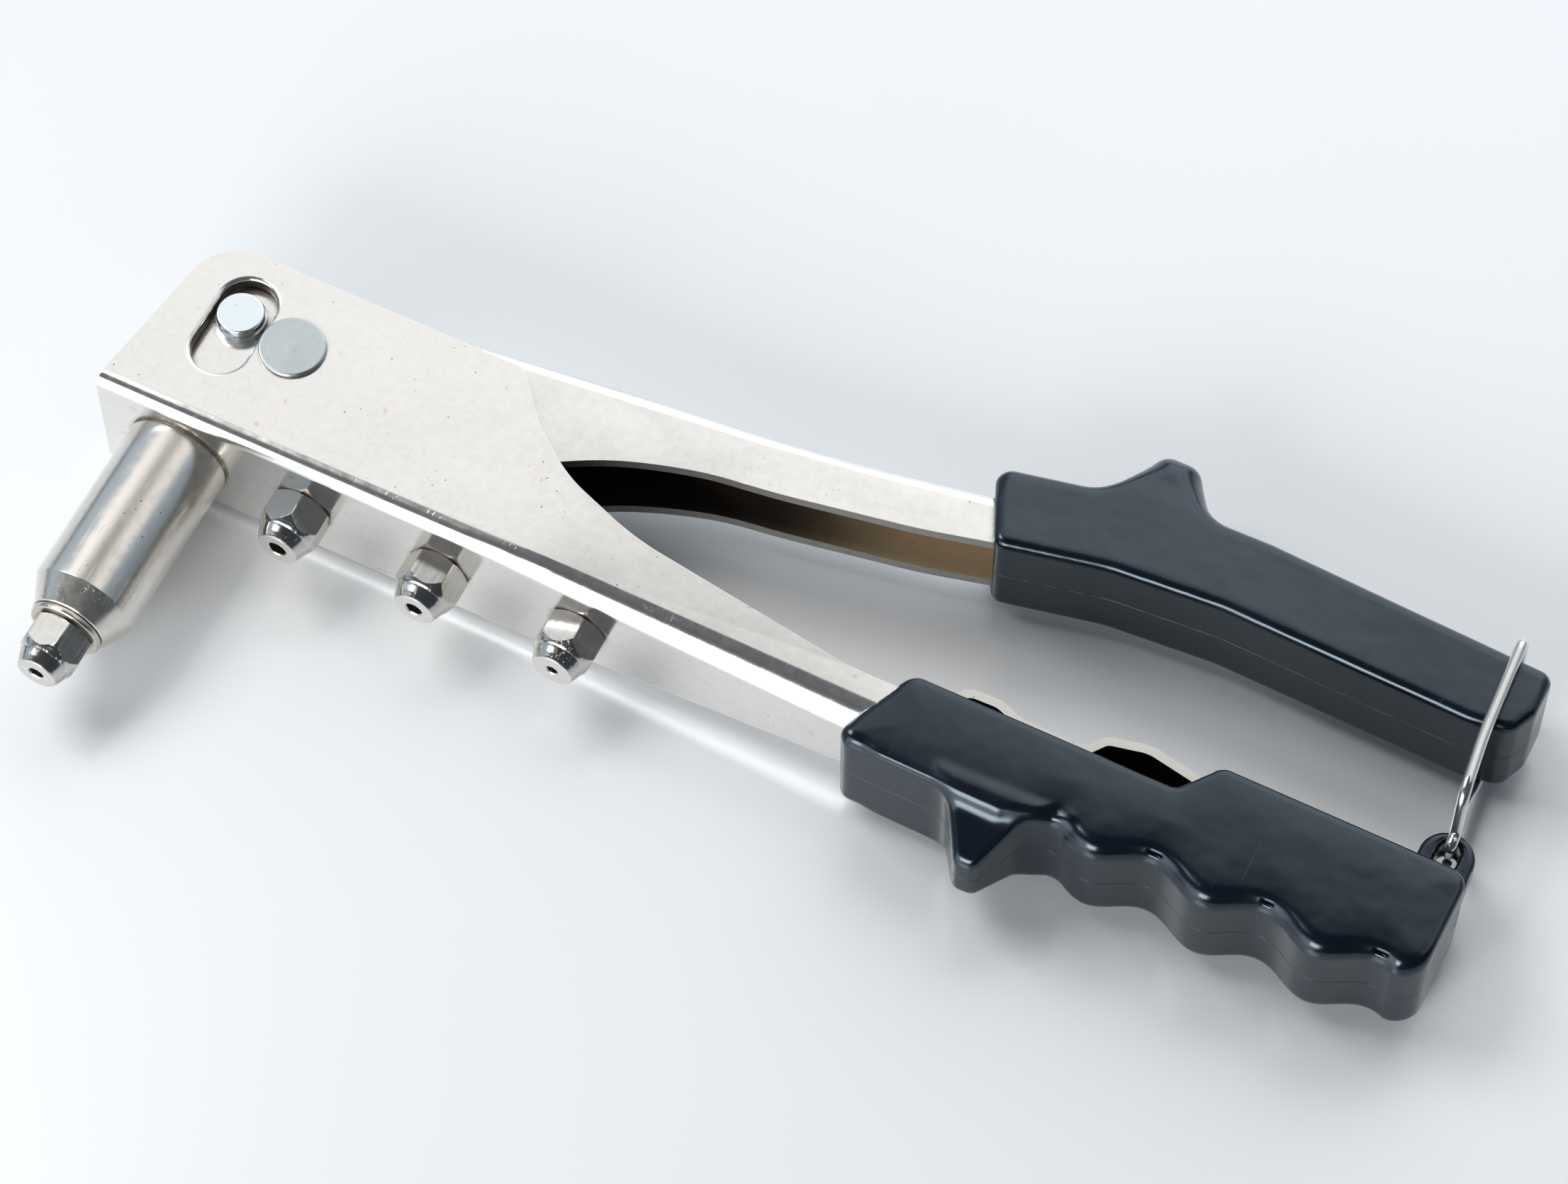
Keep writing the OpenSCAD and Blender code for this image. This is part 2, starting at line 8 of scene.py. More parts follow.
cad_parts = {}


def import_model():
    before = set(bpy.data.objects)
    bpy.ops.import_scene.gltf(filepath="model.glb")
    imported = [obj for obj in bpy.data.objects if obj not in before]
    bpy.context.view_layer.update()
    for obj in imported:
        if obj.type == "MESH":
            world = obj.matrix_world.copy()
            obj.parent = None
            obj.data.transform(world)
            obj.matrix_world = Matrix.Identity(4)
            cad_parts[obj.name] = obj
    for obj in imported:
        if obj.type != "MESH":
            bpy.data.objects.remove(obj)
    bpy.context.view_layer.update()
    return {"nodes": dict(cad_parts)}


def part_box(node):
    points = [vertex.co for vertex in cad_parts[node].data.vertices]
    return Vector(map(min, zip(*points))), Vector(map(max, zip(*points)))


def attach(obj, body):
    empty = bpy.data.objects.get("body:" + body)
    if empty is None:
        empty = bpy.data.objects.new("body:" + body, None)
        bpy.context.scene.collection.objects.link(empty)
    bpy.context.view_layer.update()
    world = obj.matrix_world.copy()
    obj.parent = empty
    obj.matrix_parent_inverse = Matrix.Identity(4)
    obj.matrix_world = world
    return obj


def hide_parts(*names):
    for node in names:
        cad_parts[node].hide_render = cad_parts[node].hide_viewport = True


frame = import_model()

# ---------------------------------------------------------------- the tool's own axes
# Millimetres from the barrel's axis (x), the spine's outer face (y) and the middle of
# the tool's thickness (z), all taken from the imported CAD.
barrel_lo, barrel_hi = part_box("barrel")
frame_lo, frame_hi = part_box("frame")
ORIGIN = Vector(((barrel_lo.x + barrel_hi.x) / 2, frame_lo.y,
                 (frame_lo.z + frame_hi.z) / 2))
TO_ROW = Matrix.Translation(ORIGIN) @ Matrix.Scale(0.001, 4)


def local(p):
    """A row-frame point in the tool's own millimetres."""
    return (Vector(p) - ORIGIN) * 1000


def row(x, y, z=0.0):
    """A point in the tool's own millimetres in the row frame."""
    return tuple(TO_ROW @ Vector((x, y, z)))


def node_box(node):
    lo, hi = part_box(node)
    return local(lo), local(hi)


def middle(lo, hi):
    return (lo.x + hi.x) / 2, (lo.y + hi.y) / 2


RIVET_LO, RIVET_HI = node_box("pivot_rivet")
PIN_LO, PIN_HI = node_box("carrier_pin")
UPPER_LO, UPPER_HI = node_box("upper_grip")
BAIL_LO, BAIL_HI = node_box("bail_wire")
WRENCH_LO, WRENCH_HI = node_box("nosepiece_wrench")
GRIP_END = node_box("lower_grip")[1].x - 0.1
PIVOT = middle(RIVET_LO, RIVET_HI)
PIN = middle(PIN_LO, PIN_HI)
SPARES = [sum(local(c).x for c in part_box(n)) / 2 for n in
          ("spare_nosepiece_large", "spare_nosepiece_medium", "spare_nosepiece_small")]

# half widths at the head and the tail, and sheet thicknesses
FRAME_HALF, TAIL_HALF, SHEET = node_box("frame")[1].z, 9.75, 2.2
LEVER_HALF, LEVER_TAIL_HALF, LEVER_SHEET = node_box("lever")[1].z, 7.2, 2.0
THROUGH = 20.0      # reaches past both faces of the tool, for cutters and outlines


# ---------------------------------------------------------------- small geometry tools
def smooth(a, b, x):
    """0 below a, 1 above b, and an even S between them."""
    t = np.clip((np.asarray(x, float) - a) / (b - a), 0, 1)
    return t * t * (3 - 2 * t)


def curve(points, x):
    """Smooth monotone curve through [x, y] points, straight beyond its ends."""
    p = np.array(points, float)
    h = np.diff(p[:, 0])
    d = np.diff(p[:, 1]) / h
    m = np.concatenate([[d[0]], (d[1:] + d[:-1]) / 2, [d[-1]]])
    for i in range(len(d)):
        if d[i] == 0:
            m[i] = m[i + 1] = 0
    x = np.asarray(x, float)
    i = np.clip(np.searchsorted(p[:, 0], x) - 1, 0, len(h) - 1)
    t = np.clip((x - p[i, 0]) / h[i], 0, 1)
    inside = ((2 * t**3 - 3 * t**2 + 1) * p[i, 1] + (t**3 - 2 * t**2 + t) * h[i] * m[i]
              + (-2 * t**3 + 3 * t**2) * p[i + 1, 1] + (t**3 - t**2) * h[i] * m[i + 1])
    before = np.minimum(x - p[0, 0], 0) * m[0]
    after = np.maximum(x - p[-1, 0], 0) * m[-1]
    return inside + before + after


def rounded(points, steps=14):
    """Closed outline from [x, y, radius] corners."""
    out, n = [], len(points)
    for i in range(n):
        p, q, r = (Vector(points[k % n][:2]) for k in (i - 1, i, i + 1))
        radius = points[i][2]
        if radius <= 0:
            out.append(tuple(q))
            continue
        a, b = (p - q).normalized(), (r - q).normalized()
        half = math.acos(max(-1, min(1, a.dot(b)))) / 2
        centre = q + (a + b).normalized() * radius / math.sin(half)
        start = q + a * radius / math.tan(half) - centre
        end = q + b * radius / math.tan(half) - centre
        turn = start.angle_signed(end)
        for k in range(steps + 1):
            v = start.copy()
            v.rotate(Matrix.Rotation(-turn * k / steps, 2))
            out.append(tuple(centre + v))
    return out


def mesh_object(name, verts, faces):
    me = bpy.data.meshes.new(name)
    me.from_pydata([tuple(map(float, v)) for v in verts], [], faces)
    ob = bpy.data.objects.new(name, me)
    bpy.context.scene.collection.objects.link(ob)
    bm = bmesh.new()
    bm.from_mesh(me)
    bmesh.ops.recalc_face_normals(bm, faces=bm.faces)
    bm.to_mesh(me)
    bm.free()
    return ob


def loft(name, rings, closed=False):
    """Skin over rings of equal length; ends capped unless closed into a loop."""
    n, m = len(rings), len(rings[0])
    verts = [p for ring in rings for p in ring]
    faces = []
    for k in range(n if closed else n - 1):
        a, b = k * m, (k + 1) % n * m
        faces += [(a + j, a + (j + 1) % m, b + (j + 1) % m, b + j) for j in range(m)]
    if not closed:
        faces += [tuple(range(m))[::-1], tuple(range((n - 1) * m, n * m))]
    return mesh_object(name, verts, faces)


def prism(name, outline, z0, z1):
    """An outline seen from the side, drawn out across the tool."""
    return loft(name, [[(x, y, z) for x, y in outline] for z in (z0, z1)])


def lathe(name, profile, centre=(0, 0, 0), axis="Y", steps=96):
    """Solid of revolution from [radius, height]; a profile that starts and ends on the
    same radius above zero is a ring."""
    hollow = profile[0][0] > 1e-6
    rings = []
    for r, h in profile:
        ring = []
        for k in range(steps):
            a = 2 * math.pi * k / steps
            u, v = max(r, 1e-4) * math.cos(a), max(r, 1e-4) * math.sin(a)
            p = (u, h, v) if axis == "Y" else (u, v, h)
            ring.append(tuple(c + q for c, q in zip(centre, p)))
        rings.append(ring)
    ob = loft(name, rings, closed=hollow)
    if not hollow:
        bm = bmesh.new()
        bm.from_mesh(ob.data)
        bmesh.ops.remove_doubles(bm, verts=bm.verts, dist=5e-4)
        bm.to_mesh(ob.data)
        bm.free()
    return ob


def bake(ob):
    """Turns the modifiers into the mesh."""
    dg = bpy.context.evaluated_depsgraph_get()
    me = bpy.data.meshes.new_from_object(ob.evaluated_get(dg))
    ob.modifiers.clear()
    ob.data = me


def combine(base, tools, operation="DIFFERENCE"):
    """Cuts, joins or crosses base with the tools, which are used up."""
    for t in tools:
        m = base.modifiers.new("cut", "BOOLEAN")
        m.operation, m.object, m.solver = operation, t, "EXACT"
    bake(base)
    for t in tools:
        bpy.data.objects.remove(t)


def tidy_mesh(ob, angle=0.6):
    """Merges doubled points and flat neighbouring faces left by the cuts."""
    bm = bmesh.new()
    bm.from_mesh(ob.data)
    bmesh.ops.remove_doubles(bm, verts=bm.verts, dist=2e-3)
    bmesh.ops.dissolve_limit(bm, angle_limit=math.radians(angle), verts=bm.verts,
                             edges=bm.edges, delimit={"MATERIAL"})
    bm.to_mesh(ob.data)
    bm.free()


def bevel(ob, width, angle, segments):
    """Rounds the edges sharper than angle."""
    m = ob.modifiers.new("bevel", "BEVEL")
    m.width, m.segments, m.limit_method = width, segments, "ANGLE"
    m.angle_limit = math.radians(angle)
    m.use_clamp_overlap = True
    m.miter_outer = "MITER_ARC"
    bake(ob)


def shade(ob, angle=40):
    """Smooth shading, broken only at edges sharper than angle."""
    ob.data.shade_smooth()
    ob.data.set_sharp_from_angle(angle=math.radians(angle))
    m = ob.modifiers.new("weights", "WEIGHTED_NORMAL")
    m.keep_sharp, m.weight = True, 60


def finish_piece(ob, body, nodes, materials, pick=None):
    """Puts a piece built in millimetres into the row frame and onto its body. With
    several materials, pick gives each face's number from its centre and normal."""
    for m in materials:
        ob.data.materials.append(m)
    if pick:
        for p in ob.data.polygons:
            p.material_index = pick(p.center, p.normal)
    ob.data.transform(TO_ROW)
    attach(ob, body)
    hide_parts(*nodes)


# ---------------------------------------------------------------- soft moulded shapes
# Distance functions on arrays of points, turned into a smooth mesh by a surface net.
def polygon_distance(p, poly):
    """Signed distance of 2-D points to a closed outline, negative inside."""
    x, y = p[:, 0], p[:, 1]
    best = np.full(len(p), 1e9)
    inside = np.zeros(len(p), bool)
    q = np.array(poly, float)
    for a, b in zip(q, np.roll(q, -1, 0)):
        e = b - a
        wx, wy = x - a[0], y - a[1]
        t = np.clip((wx * e[0] + wy * e[1]) / max(e @ e, 1e-12), 0, 1)
        best = np.minimum(best, (wx - t * e[0]) ** 2 + (wy - t * e[1]) ** 2)
        if a[1] != b[1]:
            hit = (a[1] > y) != (b[1] > y)
            inside ^= hit & (x < (b[0] - a[0]) * (y - a[1]) / (b[1] - a[1]) + a[0])
    return np.where(inside, -1, 1) * np.sqrt(best)


def blend_min(a, b, k):
    """The union of two distances with a fillet of about k."""
    h = np.clip(0.5 + 0.5 * (b - a) / k, 0, 1)
    return b * (1 - h) + a * h - k * h * (1 - h)


def blend_max(a, b, k):
    """Their crossing with a rounded edge."""
    return -blend_min(-a, -b, k)


def slab(d2, z, half, edge):
    """A plate of the outline d2, half thick, its long edges rounded by edge."""
    u, v = d2 + edge, np.abs(z) - half + edge
    return (np.minimum(np.maximum(u, v), 0)
            + np.sqrt(np.maximum(u, 0) ** 2 + np.maximum(v, 0) ** 2) - edge)


def block(p, lo, hi, edge):
    """Distance to a box with rounded edges."""
    c, h = (np.array(lo) + hi) / 2, (np.array(hi) - lo) / 2
    q = np.abs(p - c) - h + edge
    return (np.minimum(q.max(1), 0) + np.linalg.norm(np.maximum(q, 0), axis=1) - edge)


def net(name, distance, lo, hi, step):
    """Quad mesh of distance = 0 inside the box lo to hi, moved onto the true surface."""
    axes = [np.arange(a - step, b + 2 * step, step) for a, b in zip(lo, hi)]
    grid = np.stack(np.meshgrid(*axes, indexing="ij"), -1)
    shape = grid.shape[:3]
    f = distance(grid.reshape(-1, 3)).reshape(shape)
    corners = [(i, j, k) for i in (0, 1) for j in (0, 1) for k in (0, 1)]
    n = [s - 1 for s in shape]
    value = {c: f[c[0]:n[0] + c[0], c[1]:n[1] + c[1], c[2]:n[2] + c[2]] for c in corners}
    count = sum((value[c] < 0).astype(int) for c in corners)
    active = (count > 0) & (count < 8)
    index = -np.ones(n, int)
    index[active] = np.arange(active.sum())
    total, crossings = np.zeros((active.sum(), 3)), np.zeros(active.sum())
    for a in corners:
        for axis in range(3):
            if a[axis]:
                continue
            b = tuple(1 if i == axis else a[i] for i in range(3))
            fa, fb = value[a][active], value[b][active]
            cross = (fa < 0) != (fb < 0)
            t = np.where(cross, fa / np.where(cross, fa - fb, 1), 0)
            p = np.tile(np.array(a, float), (len(fa), 1))
            p[:, axis] += t
            total[cross] += p[cross]
            crossings += cross
    cells = np.argwhere(active)
    origin = np.array([a[0] for a in axes])
    v = origin + (cells + total / crossings[:, None]) * step
    for _ in range(2):
        d = distance(v)
        g = np.stack([distance(v + np.eye(3)[i] * 0.02) - d for i in range(3)], 1) / 0.02
        v -= np.clip(d[:, None] * g / np.maximum((g * g).sum(1)[:, None], 0.2),
                     -step / 2, step / 2)
    faces = []
    for axis in range(3):
        u, w = (axis + 1) % 3, (axis + 2) % 3
        lo_s = [slice(0, s) for s in shape]
        hi_s = [slice(0, s) for s in shape]
        lo_s[axis], hi_s[axis] = slice(0, shape[axis] - 1), slice(1, shape[axis])
        change = (f[tuple(lo_s)] < 0) != (f[tuple(hi_s)] < 0)
        for c in np.argwhere(change):
            quad = []
            for du, dw in ((0, 0), (1, 0), (1, 1), (0, 1)):
                q = c.copy()
                q[u] -= du
                q[w] -= dw
                quad.append(index[tuple(q)])
            if f[tuple(c)] > 0:
                quad.reverse()
            faces.append(quad)
    ob = mesh_object(name, v, faces)
    ob.data.shade_smooth()
    return ob


# ---------------------------------------------------------------- materials
class Nodes:
    """Short-hand for building one node material."""

    def __init__(self, name):
        self.material = bpy.data.materials.new(name)
        self.material.use_nodes = True
        self.tree = self.material.node_tree
        self.shader = self.tree.nodes["Principled BSDF"]
        coords = self.add("ShaderNodeTexCoord")
        scale = self.add("ShaderNodeMapping", Scale=(1000, 1000, 1000))
        self.link(coords.outputs["Object"], scale.inputs["Vector"])
        self.mm = scale.outputs["Vector"]

    def add(self, kind, props=None, **values):
        n = self.tree.nodes.new(kind)
        for k, v in (props or {}).items():
            setattr(n, k, v)
        for k, v in values.items():
            n.inputs[k.replace("_", " ")].default_value = v
        return n

    def link(self, a, b):
        self.tree.links.new(a, b)

    def stretched(self, scale, turn):
        """Coordinates scaled by axis and turned about z, in degrees."""
        m = self.add("ShaderNodeMapping", Scale=scale, Rotation=(0, 0, math.radians(turn)))
        self.link(self.mm, m.inputs["Vector"])
        return m.outputs["Vector"]

    def noise(self, scale, detail=3.0, rough=0.55, vector=None):
        """Soft noise with about scale bumps to the millimetre."""
        n = self.add("ShaderNodeTexNoise", Scale=scale, Detail=detail, Roughness=rough)
        self.link(vector or self.mm, n.inputs["Vector"])
        return n.outputs["Fac"]

    def cells(self, scale):
        """Distance from the nearest of scattered points."""
        n = self.add("ShaderNodeTexVoronoi", Scale=scale)
        self.link(self.mm, n.inputs["Vector"])
        return n.outputs["Distance"]

    def remap(self, value, a, b, c=0.0, d=1.0):
        """Value from a to b as c to d, with soft ends."""
        n = self.add("ShaderNodeMapRange", {"interpolation_type": "SMOOTHSTEP"})
        self.link(value, n.inputs["Value"])
        for k, v in zip(("From Min", "From Max", "To Min", "To Max"), (a, b, c, d)):
            n.inputs[k].default_value = v
        return n.outputs["Result"]

    def math(self, op, a, b=0.0):
        """A math node on sockets or numbers."""
        n = self.add("ShaderNodeMath", {"operation": op})
        for s, v in zip(n.inputs, (a, b)):
            if isinstance(v, (int, float)):
                s.default_value = v
            else:
                self.link(v, s)
        return n.outputs[0]

    def mix(self, fac, a, b):
        """Colour a going over to b by fac."""
        n = self.add("ShaderNodeMix", {"data_type": "RGBA"})
        for s, v in ((n.inputs[0], fac), (n.inputs[6], a), (n.inputs[7], b)):
            if isinstance(v, (int, float)):
                s.default_value = v
            elif isinstance(v, tuple):
                s.default_value = (*v, 1)
            else:
                self.link(v, s)
        return n.outputs[2]

    def xyz(self, vector=None):
        n = self.add("ShaderNodeSeparateXYZ")
        self.link(vector or self.mm, n.inputs[0])
        return n.outputs

    def bump(self, height, strength, distance, below=None):
        """Relief of a depth in metres, on top of the normal below."""
        n = self.add("ShaderNodeBump", Strength=strength, Distance=distance)
        self.link(height, n.inputs["Height"])
        if below:
            self.link(below, n.inputs["Normal"])
        return n.outputs["Normal"]

    def contact(self, distance):
        """1 in creases and contact lines, 0 in the open."""
        n = self.add("ShaderNodeAmbientOcclusion", {"samples": 6}, Distance=distance)
        return self.remap(n.outputs["AO"], 0.30, 0.80, 1, 0)

    def done(self, colour, rough, normal, metallic, **constants):
        """Wires the shader; what is the same all over is set on its own sockets."""
        s = self.shader
        self.link(colour, s.inputs["Base Color"])
        if isinstance(rough, float):
            s.inputs["Roughness"].default_value = rough
        else:
            self.link(rough, s.inputs["Roughness"])
        if normal:
            self.link(normal, s.inputs["Normal"])
        s.inputs["Metallic"].default_value = metallic
        for k, v in constants.items():
            s.inputs[k.replace("_", " ")].default_value = v
        return self.material


def scratches(n, scale, angle, keep=0.64):
    """Sparse hairlines along one direction."""
    v = n.stretched((scale, scale * 0.02, scale), angle)
    line = n.remap(n.noise(1.0, 2.0, 0.5, v), keep, keep + 0.05)
    patch = n.remap(n.noise(0.11, 2.0), 0.45, 0.62)
    return n.math("MULTIPLY", line, patch)


# the first colour is painted shade mixed with grime, laid where ambient occlusion finds
# creases and contact lines
CONTACT_SHADE_AND_GRIME, STAIN, PIT = (0.16, 0.10, 0.05), (0.42, 0.33, 0.22), (0.16, 0.12, 0.09)
SHADE_REACH = 0.0016     # metres from a contact line that the painted shade and grime reach


def plated(name, colour, rough, wave=0.5, grain=0.4, stains=0.0, scratch=0.5):
    """Nickel or zinc plate: faint unevenness, hairlines, pits, and brown grime mixed with
    painted shade in creases and contact lines.
    """
    n = Nodes(name)
    slow = n.noise(0.035, 2.0, 0.5)
    mottled = n.noise(0.55, 5.0, 0.65)
    fine = n.noise(6.0, 3.0, 0.6)
    lines = n.math("MAXIMUM", scratches(n, 3.1, 24), scratches(n, 2.3, -61))
    pits = n.remap(n.cells(0.42), 0.035, 0.10, 1, 0)
    pits = n.math("MULTIPLY", pits, n.remap(n.noise(0.09, 1.0), 0.52, 0.60))
    base = n.mix(n.remap(mottled, 0.3, 0.75), colour, tuple(c * 0.93 for c in colour))
    if stains:
        spots = n.remap(n.noise(0.30, 4.0, 0.6), 0.66, 0.74)
        base = n.mix(n.math("MULTIPLY", spots, stains), base, STAIN)
    base = n.mix(n.math("MULTIPLY", pits, 0.7), base, PIT)
    # painted shade: ambient occlusion darkens creases and contact lines brown, mixed with
    # grime by noise
    shade_and_grime = n.math("MULTIPLY", n.contact(SHADE_REACH),
                  n.remap(n.noise(0.8, 3.0), 0.25, 0.60, 0.25, 0.95))
    base = n.mix(n.math("MULTIPLY", shade_and_grime, 0.85), base, CONTACT_SHADE_AND_GRIME)
    r = n.math("ADD", n.remap(mottled, 0.3, 0.8, rough * 0.85, rough * 1.25),
               n.math("MULTIPLY", lines, 0.12 * scratch))
    r = n.math("ADD", r, n.math("MULTIPLY", shade_and_grime, 0.3))
    normal = n.bump(slow, 0.5 * wave, 0.0012)
    normal = n.bump(mottled, 0.25 * wave, 0.00006, normal)
    normal = n.bump(fine, 0.35 * grain, 0.000012, normal)
    normal = n.bump(n.math("SUBTRACT", 1.0, n.math("MAXIMUM", lines, pits)), scratch,
                    0.00002, normal)
    return n, base, r, normal


def turned(n, centre, axis, pitch, below, strength):
    """Fine lathe rings about an axis, by distance from it (mm, row frame)."""
    x, y, z = n.xyz()
    c = [v * 1000 for v in centre]
    pair = {"Y": ((x, c[0]), (z, c[2])), "Z": ((x, c[0]), (y, c[1]))}[axis]
    squares = [n.math("POWER", n.math("SUBTRACT", s, v), 2.0) for s, v in pair]
    radius = n.math("SQRT", n.math("ADD", *squares))
    wobble = n.math("ADD", radius, n.math("MULTIPLY", n.noise(1.5, 2.0), 0.10))
    rings = n.math("SINE", n.math("MULTIPLY", wobble, 2 * math.pi / pitch))
    return n.bump(rings, strength, 0.000012, below)


def metal(name, colour, rough, metallic=0.94, IOR=1.5, **kw):
    """Sheet or wire."""
    n, base, r, normal = plated(name, colour, rough, **kw)
    return n.done(base, r, normal, metallic, IOR=IOR)


def lathe_metal(name, centre, axis, colour, rough, pitch, strength, **kw):
    """A turned part, with fine rings about its axis."""
    n, base, r, normal = plated(name, colour, rough, **kw)
    return n.done(base, r, turned(n, centre, axis, pitch, normal, strength), 1.0)


NICKEL = (0.92, 0.90, 0.865)
m_frame = metal("nickel_frame", NICKEL, 0.17, stains=0.35, wave=0.35, scratch=0.2)
m_lever = metal("nickel_lever", NICKEL, 0.18, stains=0.25, wave=0.35, scratch=0.2)
# painted shade: the frame's inner faces and slot walls are coloured dark brown for the
# shade there, with some oil and rust
m_inside_shade = metal("plate_inside_shade", (0.075, 0.055, 0.038), 0.46, grain=1.0, stains=0.5)
m_edge = metal("sheared_edge", (0.52, 0.50, 0.47), 0.36, grain=0.8, stains=0.3)
m_barrel = metal("nickel_barrel", (0.84, 0.80, 0.735), 0.22, wave=0.0, grain=0.12,
                 stains=0.3)
m_wrench = metal("wrench_plate", (0.70, 0.68, 0.63), 0.30, grain=0.9, stains=0.4)
m_wire = metal("nickel_wire", (0.78, 0.76, 0.72), 0.17, grain=0.0, wave=0.0, scratch=0.1)
# painted shade: the wrench's underside, deep inside the grip, is coloured near-black
m_wrench_shade = metal("wrench_underside_shade", (0.006, 0.006, 0.006), 0.8, 0.0, IOR=1.1)
m_steel = metal("oiled_steel", (0.34, 0.33, 0.32), 0.36, grain=0.8)
m_pin = lathe_metal("pin_zinc", row(*PIN), "Z", (0.84, 0.92, 0.96), 0.24, 0.55, 0.10,
                    grain=0.8)
m_rivet = lathe_metal("rivet_zinc", row(*PIVOT), "Z", (0.50, 0.54, 0.55), 0.36, 0.9, 0.10,
                      grain=1.2, stains=0.25)


def vinyl():
    """Moulded black vinyl: soft gloss, dust, lint, rubs and the mould's parting line."""
    n = Nodes("grip_vinyl")
    soft = n.noise(0.05, 3.0, 0.6)
    grainy = n.noise(2.2, 4.0, 0.7)
    dust = n.remap(n.cells(0.55), 0.018, 0.035, 1, 0)
    dust = n.math("MULTIPLY", dust, n.remap(n.noise(0.12, 2.0), 0.50, 0.62))
    lint = scratches(n, 1.6, 38, 0.66)
    rubs = n.math("MULTIPLY", n.math("MAXIMUM", lint, scratches(n, 2.4, -12, 0.67)), 0.35)
    base = n.mix(n.remap(soft, 0.3, 0.7), (0.0024, 0.0050, 0.0095),
                 (0.0036, 0.0066, 0.0120))
    base = n.mix(n.math("MULTIPLY", rubs, 0.25), base, (0.10, 0.11, 0.12))
    base = n.mix(n.math("MULTIPLY", dust, 0.6), base, (0.30, 0.31, 0.32))
    z = n.xyz()[2]
    side = n.xyz(n.add("ShaderNodeNewGeometry").outputs["Normal"])
    offset = n.math("ABSOLUTE", n.math("SUBTRACT", z, ORIGIN.z * 1000))
    wander = n.math("MULTIPLY", n.math("SUBTRACT", n.noise(0.25, 2.0), 0.5), 0.5)
    seam = n.math("ABSOLUTE", n.math("ADD", offset, wander))
    seam = n.remap(seam, 0.06, 0.20, 1, 0)
    facing = n.remap(n.math("ABSOLUTE", side[2]), 0.25, 0.4, 1, 0)
    seam = n.math("MULTIPLY", seam, facing)
    base = n.mix(n.math("MULTIPLY", seam, 0.8), base, (0.002, 0.002, 0.003))
    r = n.math("ADD", n.remap(soft, 0.3, 0.7, 0.17, 0.24), n.math("MULTIPLY", rubs, 0.15))
    r = n.math("ADD", r, n.math("MULTIPLY", dust, 0.3))
    normal = n.bump(soft, 0.25, 0.0010)
    normal = n.bump(grainy, 0.22, 0.00002, normal)
    normal = n.bump(n.math("SUBTRACT", 1.0, seam), 0.8, 0.00012, normal)
    return n.done(base, r, normal, 0.0, IOR=1.63, Specular_Tint=(0.74, 0.89, 1.0, 1.0))


m_vinyl = vinyl()


def channel():
    """The lever's channel inside: oily brown, with painted shade going over to black near
    the head.
    """
    n, base, r, normal = plated("lever_channel", (0.46, 0.345, 0.215), 0.55, grain=1.0,
                                stains=0.4)
    ragged = n.math("ADD", n.xyz()[0], n.math("MULTIPLY", n.noise(0.12, 2.0), 8.0))
    # painted shade: darker towards the head, where the channel lies deep inside the frame
    near = n.remap(ragged, -10, 16, 1, 0)
    base = n.mix(near, base, (0.07, 0.055, 0.045))
    return n.done(base, r, normal, 0.0, IOR=1.2)


m_channel_shade = channel()

# ---------------------------------------------------------------- frame
# outline of the frame's cheeks from the side
CHEEK = rounded([
    (-14.8, 0, 0), (-9.6, 34, 9), (48.6, 34, 2.4), (56, 25.4, 14), (65, 18.6, 26),
    (80, 13.4, 50), (121, 8.8, 8), (183, 9, 0), (188, 16.9, 0), (222, 16.9, 0),
    (222, 0, 0)])
# where the frame's section is placed, closer together where it changes quickly
FRAME_X = [-30, 0, 20, 40, 54, 58, 61, 63, 65, 67, 69, 71, 74, 78, 86, 94, 102, 110, 116,
           119, 122, 124, 126, 128, 131, 140, 240]
NECK, NECK_END = 66, 126    # the cheeks close in from the head's width to the tail's
SLOT_X, SLOT_HALF, SLOT_ENDS, SLOT_LIP = 0.9, 5.0, (14.9, 24.3), 0.85
PIVOT_HOLE, BARREL_HOLE, SPARE_HOLE = 3.02, 7.0, 3.0


def frame_half(x):
    """Half width of the frame at x, with a soft start to its neck."""
    if x >= NECK_END - 1:
        return TAIL_HALF
    drop = (FRAME_HALF - TAIL_HALF) * (x - NECK) / (NECK_END - NECK)
    return max(FRAME_HALF - 0.25 * math.log1p(math.exp(drop / 0.25)), TAIL_HALF)


def channel_ring(x, half, web, end, r, steps=12):
    """Section of a bent sheet at x: half wide, its web at y = web and its edges at end."""
    way = 1 if web > end else -1
    side = [(end, half)]
    for k in range(steps + 1):
        a = math.pi / 2 * k / steps
        side.append((web - way * (r - r * math.sin(a)), half - r + r * math.cos(a)))
    return [(x, y, -z) for y, z in side] + [(x, y, z) for y, z in reversed(side)]


def bend_radius(x):
    """Outer radius of the frame's bend, wider towards the tail."""
    return 2.6 + 2.2 * float(smooth(30, 122, x))


def slot_cutter(steps=48):
    """The carrier pin's slot, opening out to a rounded lip at both faces."""
    heights = [-16] + [-FRAME_HALF + SLOT_LIP * k / 8 for k in range(9)]
    rings = []
    for z in heights + [-h for h in reversed(heights)]:
        past = abs(z) - FRAME_HALF
        t = max(0.0, min(1.0, past / SLOT_LIP + 1))
        r = SLOT_HALF + SLOT_LIP * (1 - math.sqrt(max(0.0, 1 - t * t))) + max(0.0, past)
        rings.append([(SLOT_X + r * math.cos(a), end + r * math.sin(a), z)
                      for start, end in ((0, SLOT_ENDS[1]), (math.pi, SLOT_ENDS[0]))
                      for a in (start + math.pi * k / steps for k in range(steps + 1))])
    return loft("slot_cut", rings)


def bore(name, r, y0, y1, x=0.0):
    """A rod along the barrel's direction."""
    return lathe(name, [(0, y0), (r, y0), (r, y1), (0, y1)], (x, 0, 0), "Y", 64)


def hole_z(name, x, y, r, steps=64):
    """A rod across the tool."""
    return lathe(name, [(0, -THROUGH), (r, -THROUGH), (r, THROUGH), (0, THROUGH)],
                 (x, y, 0), "Z", steps)


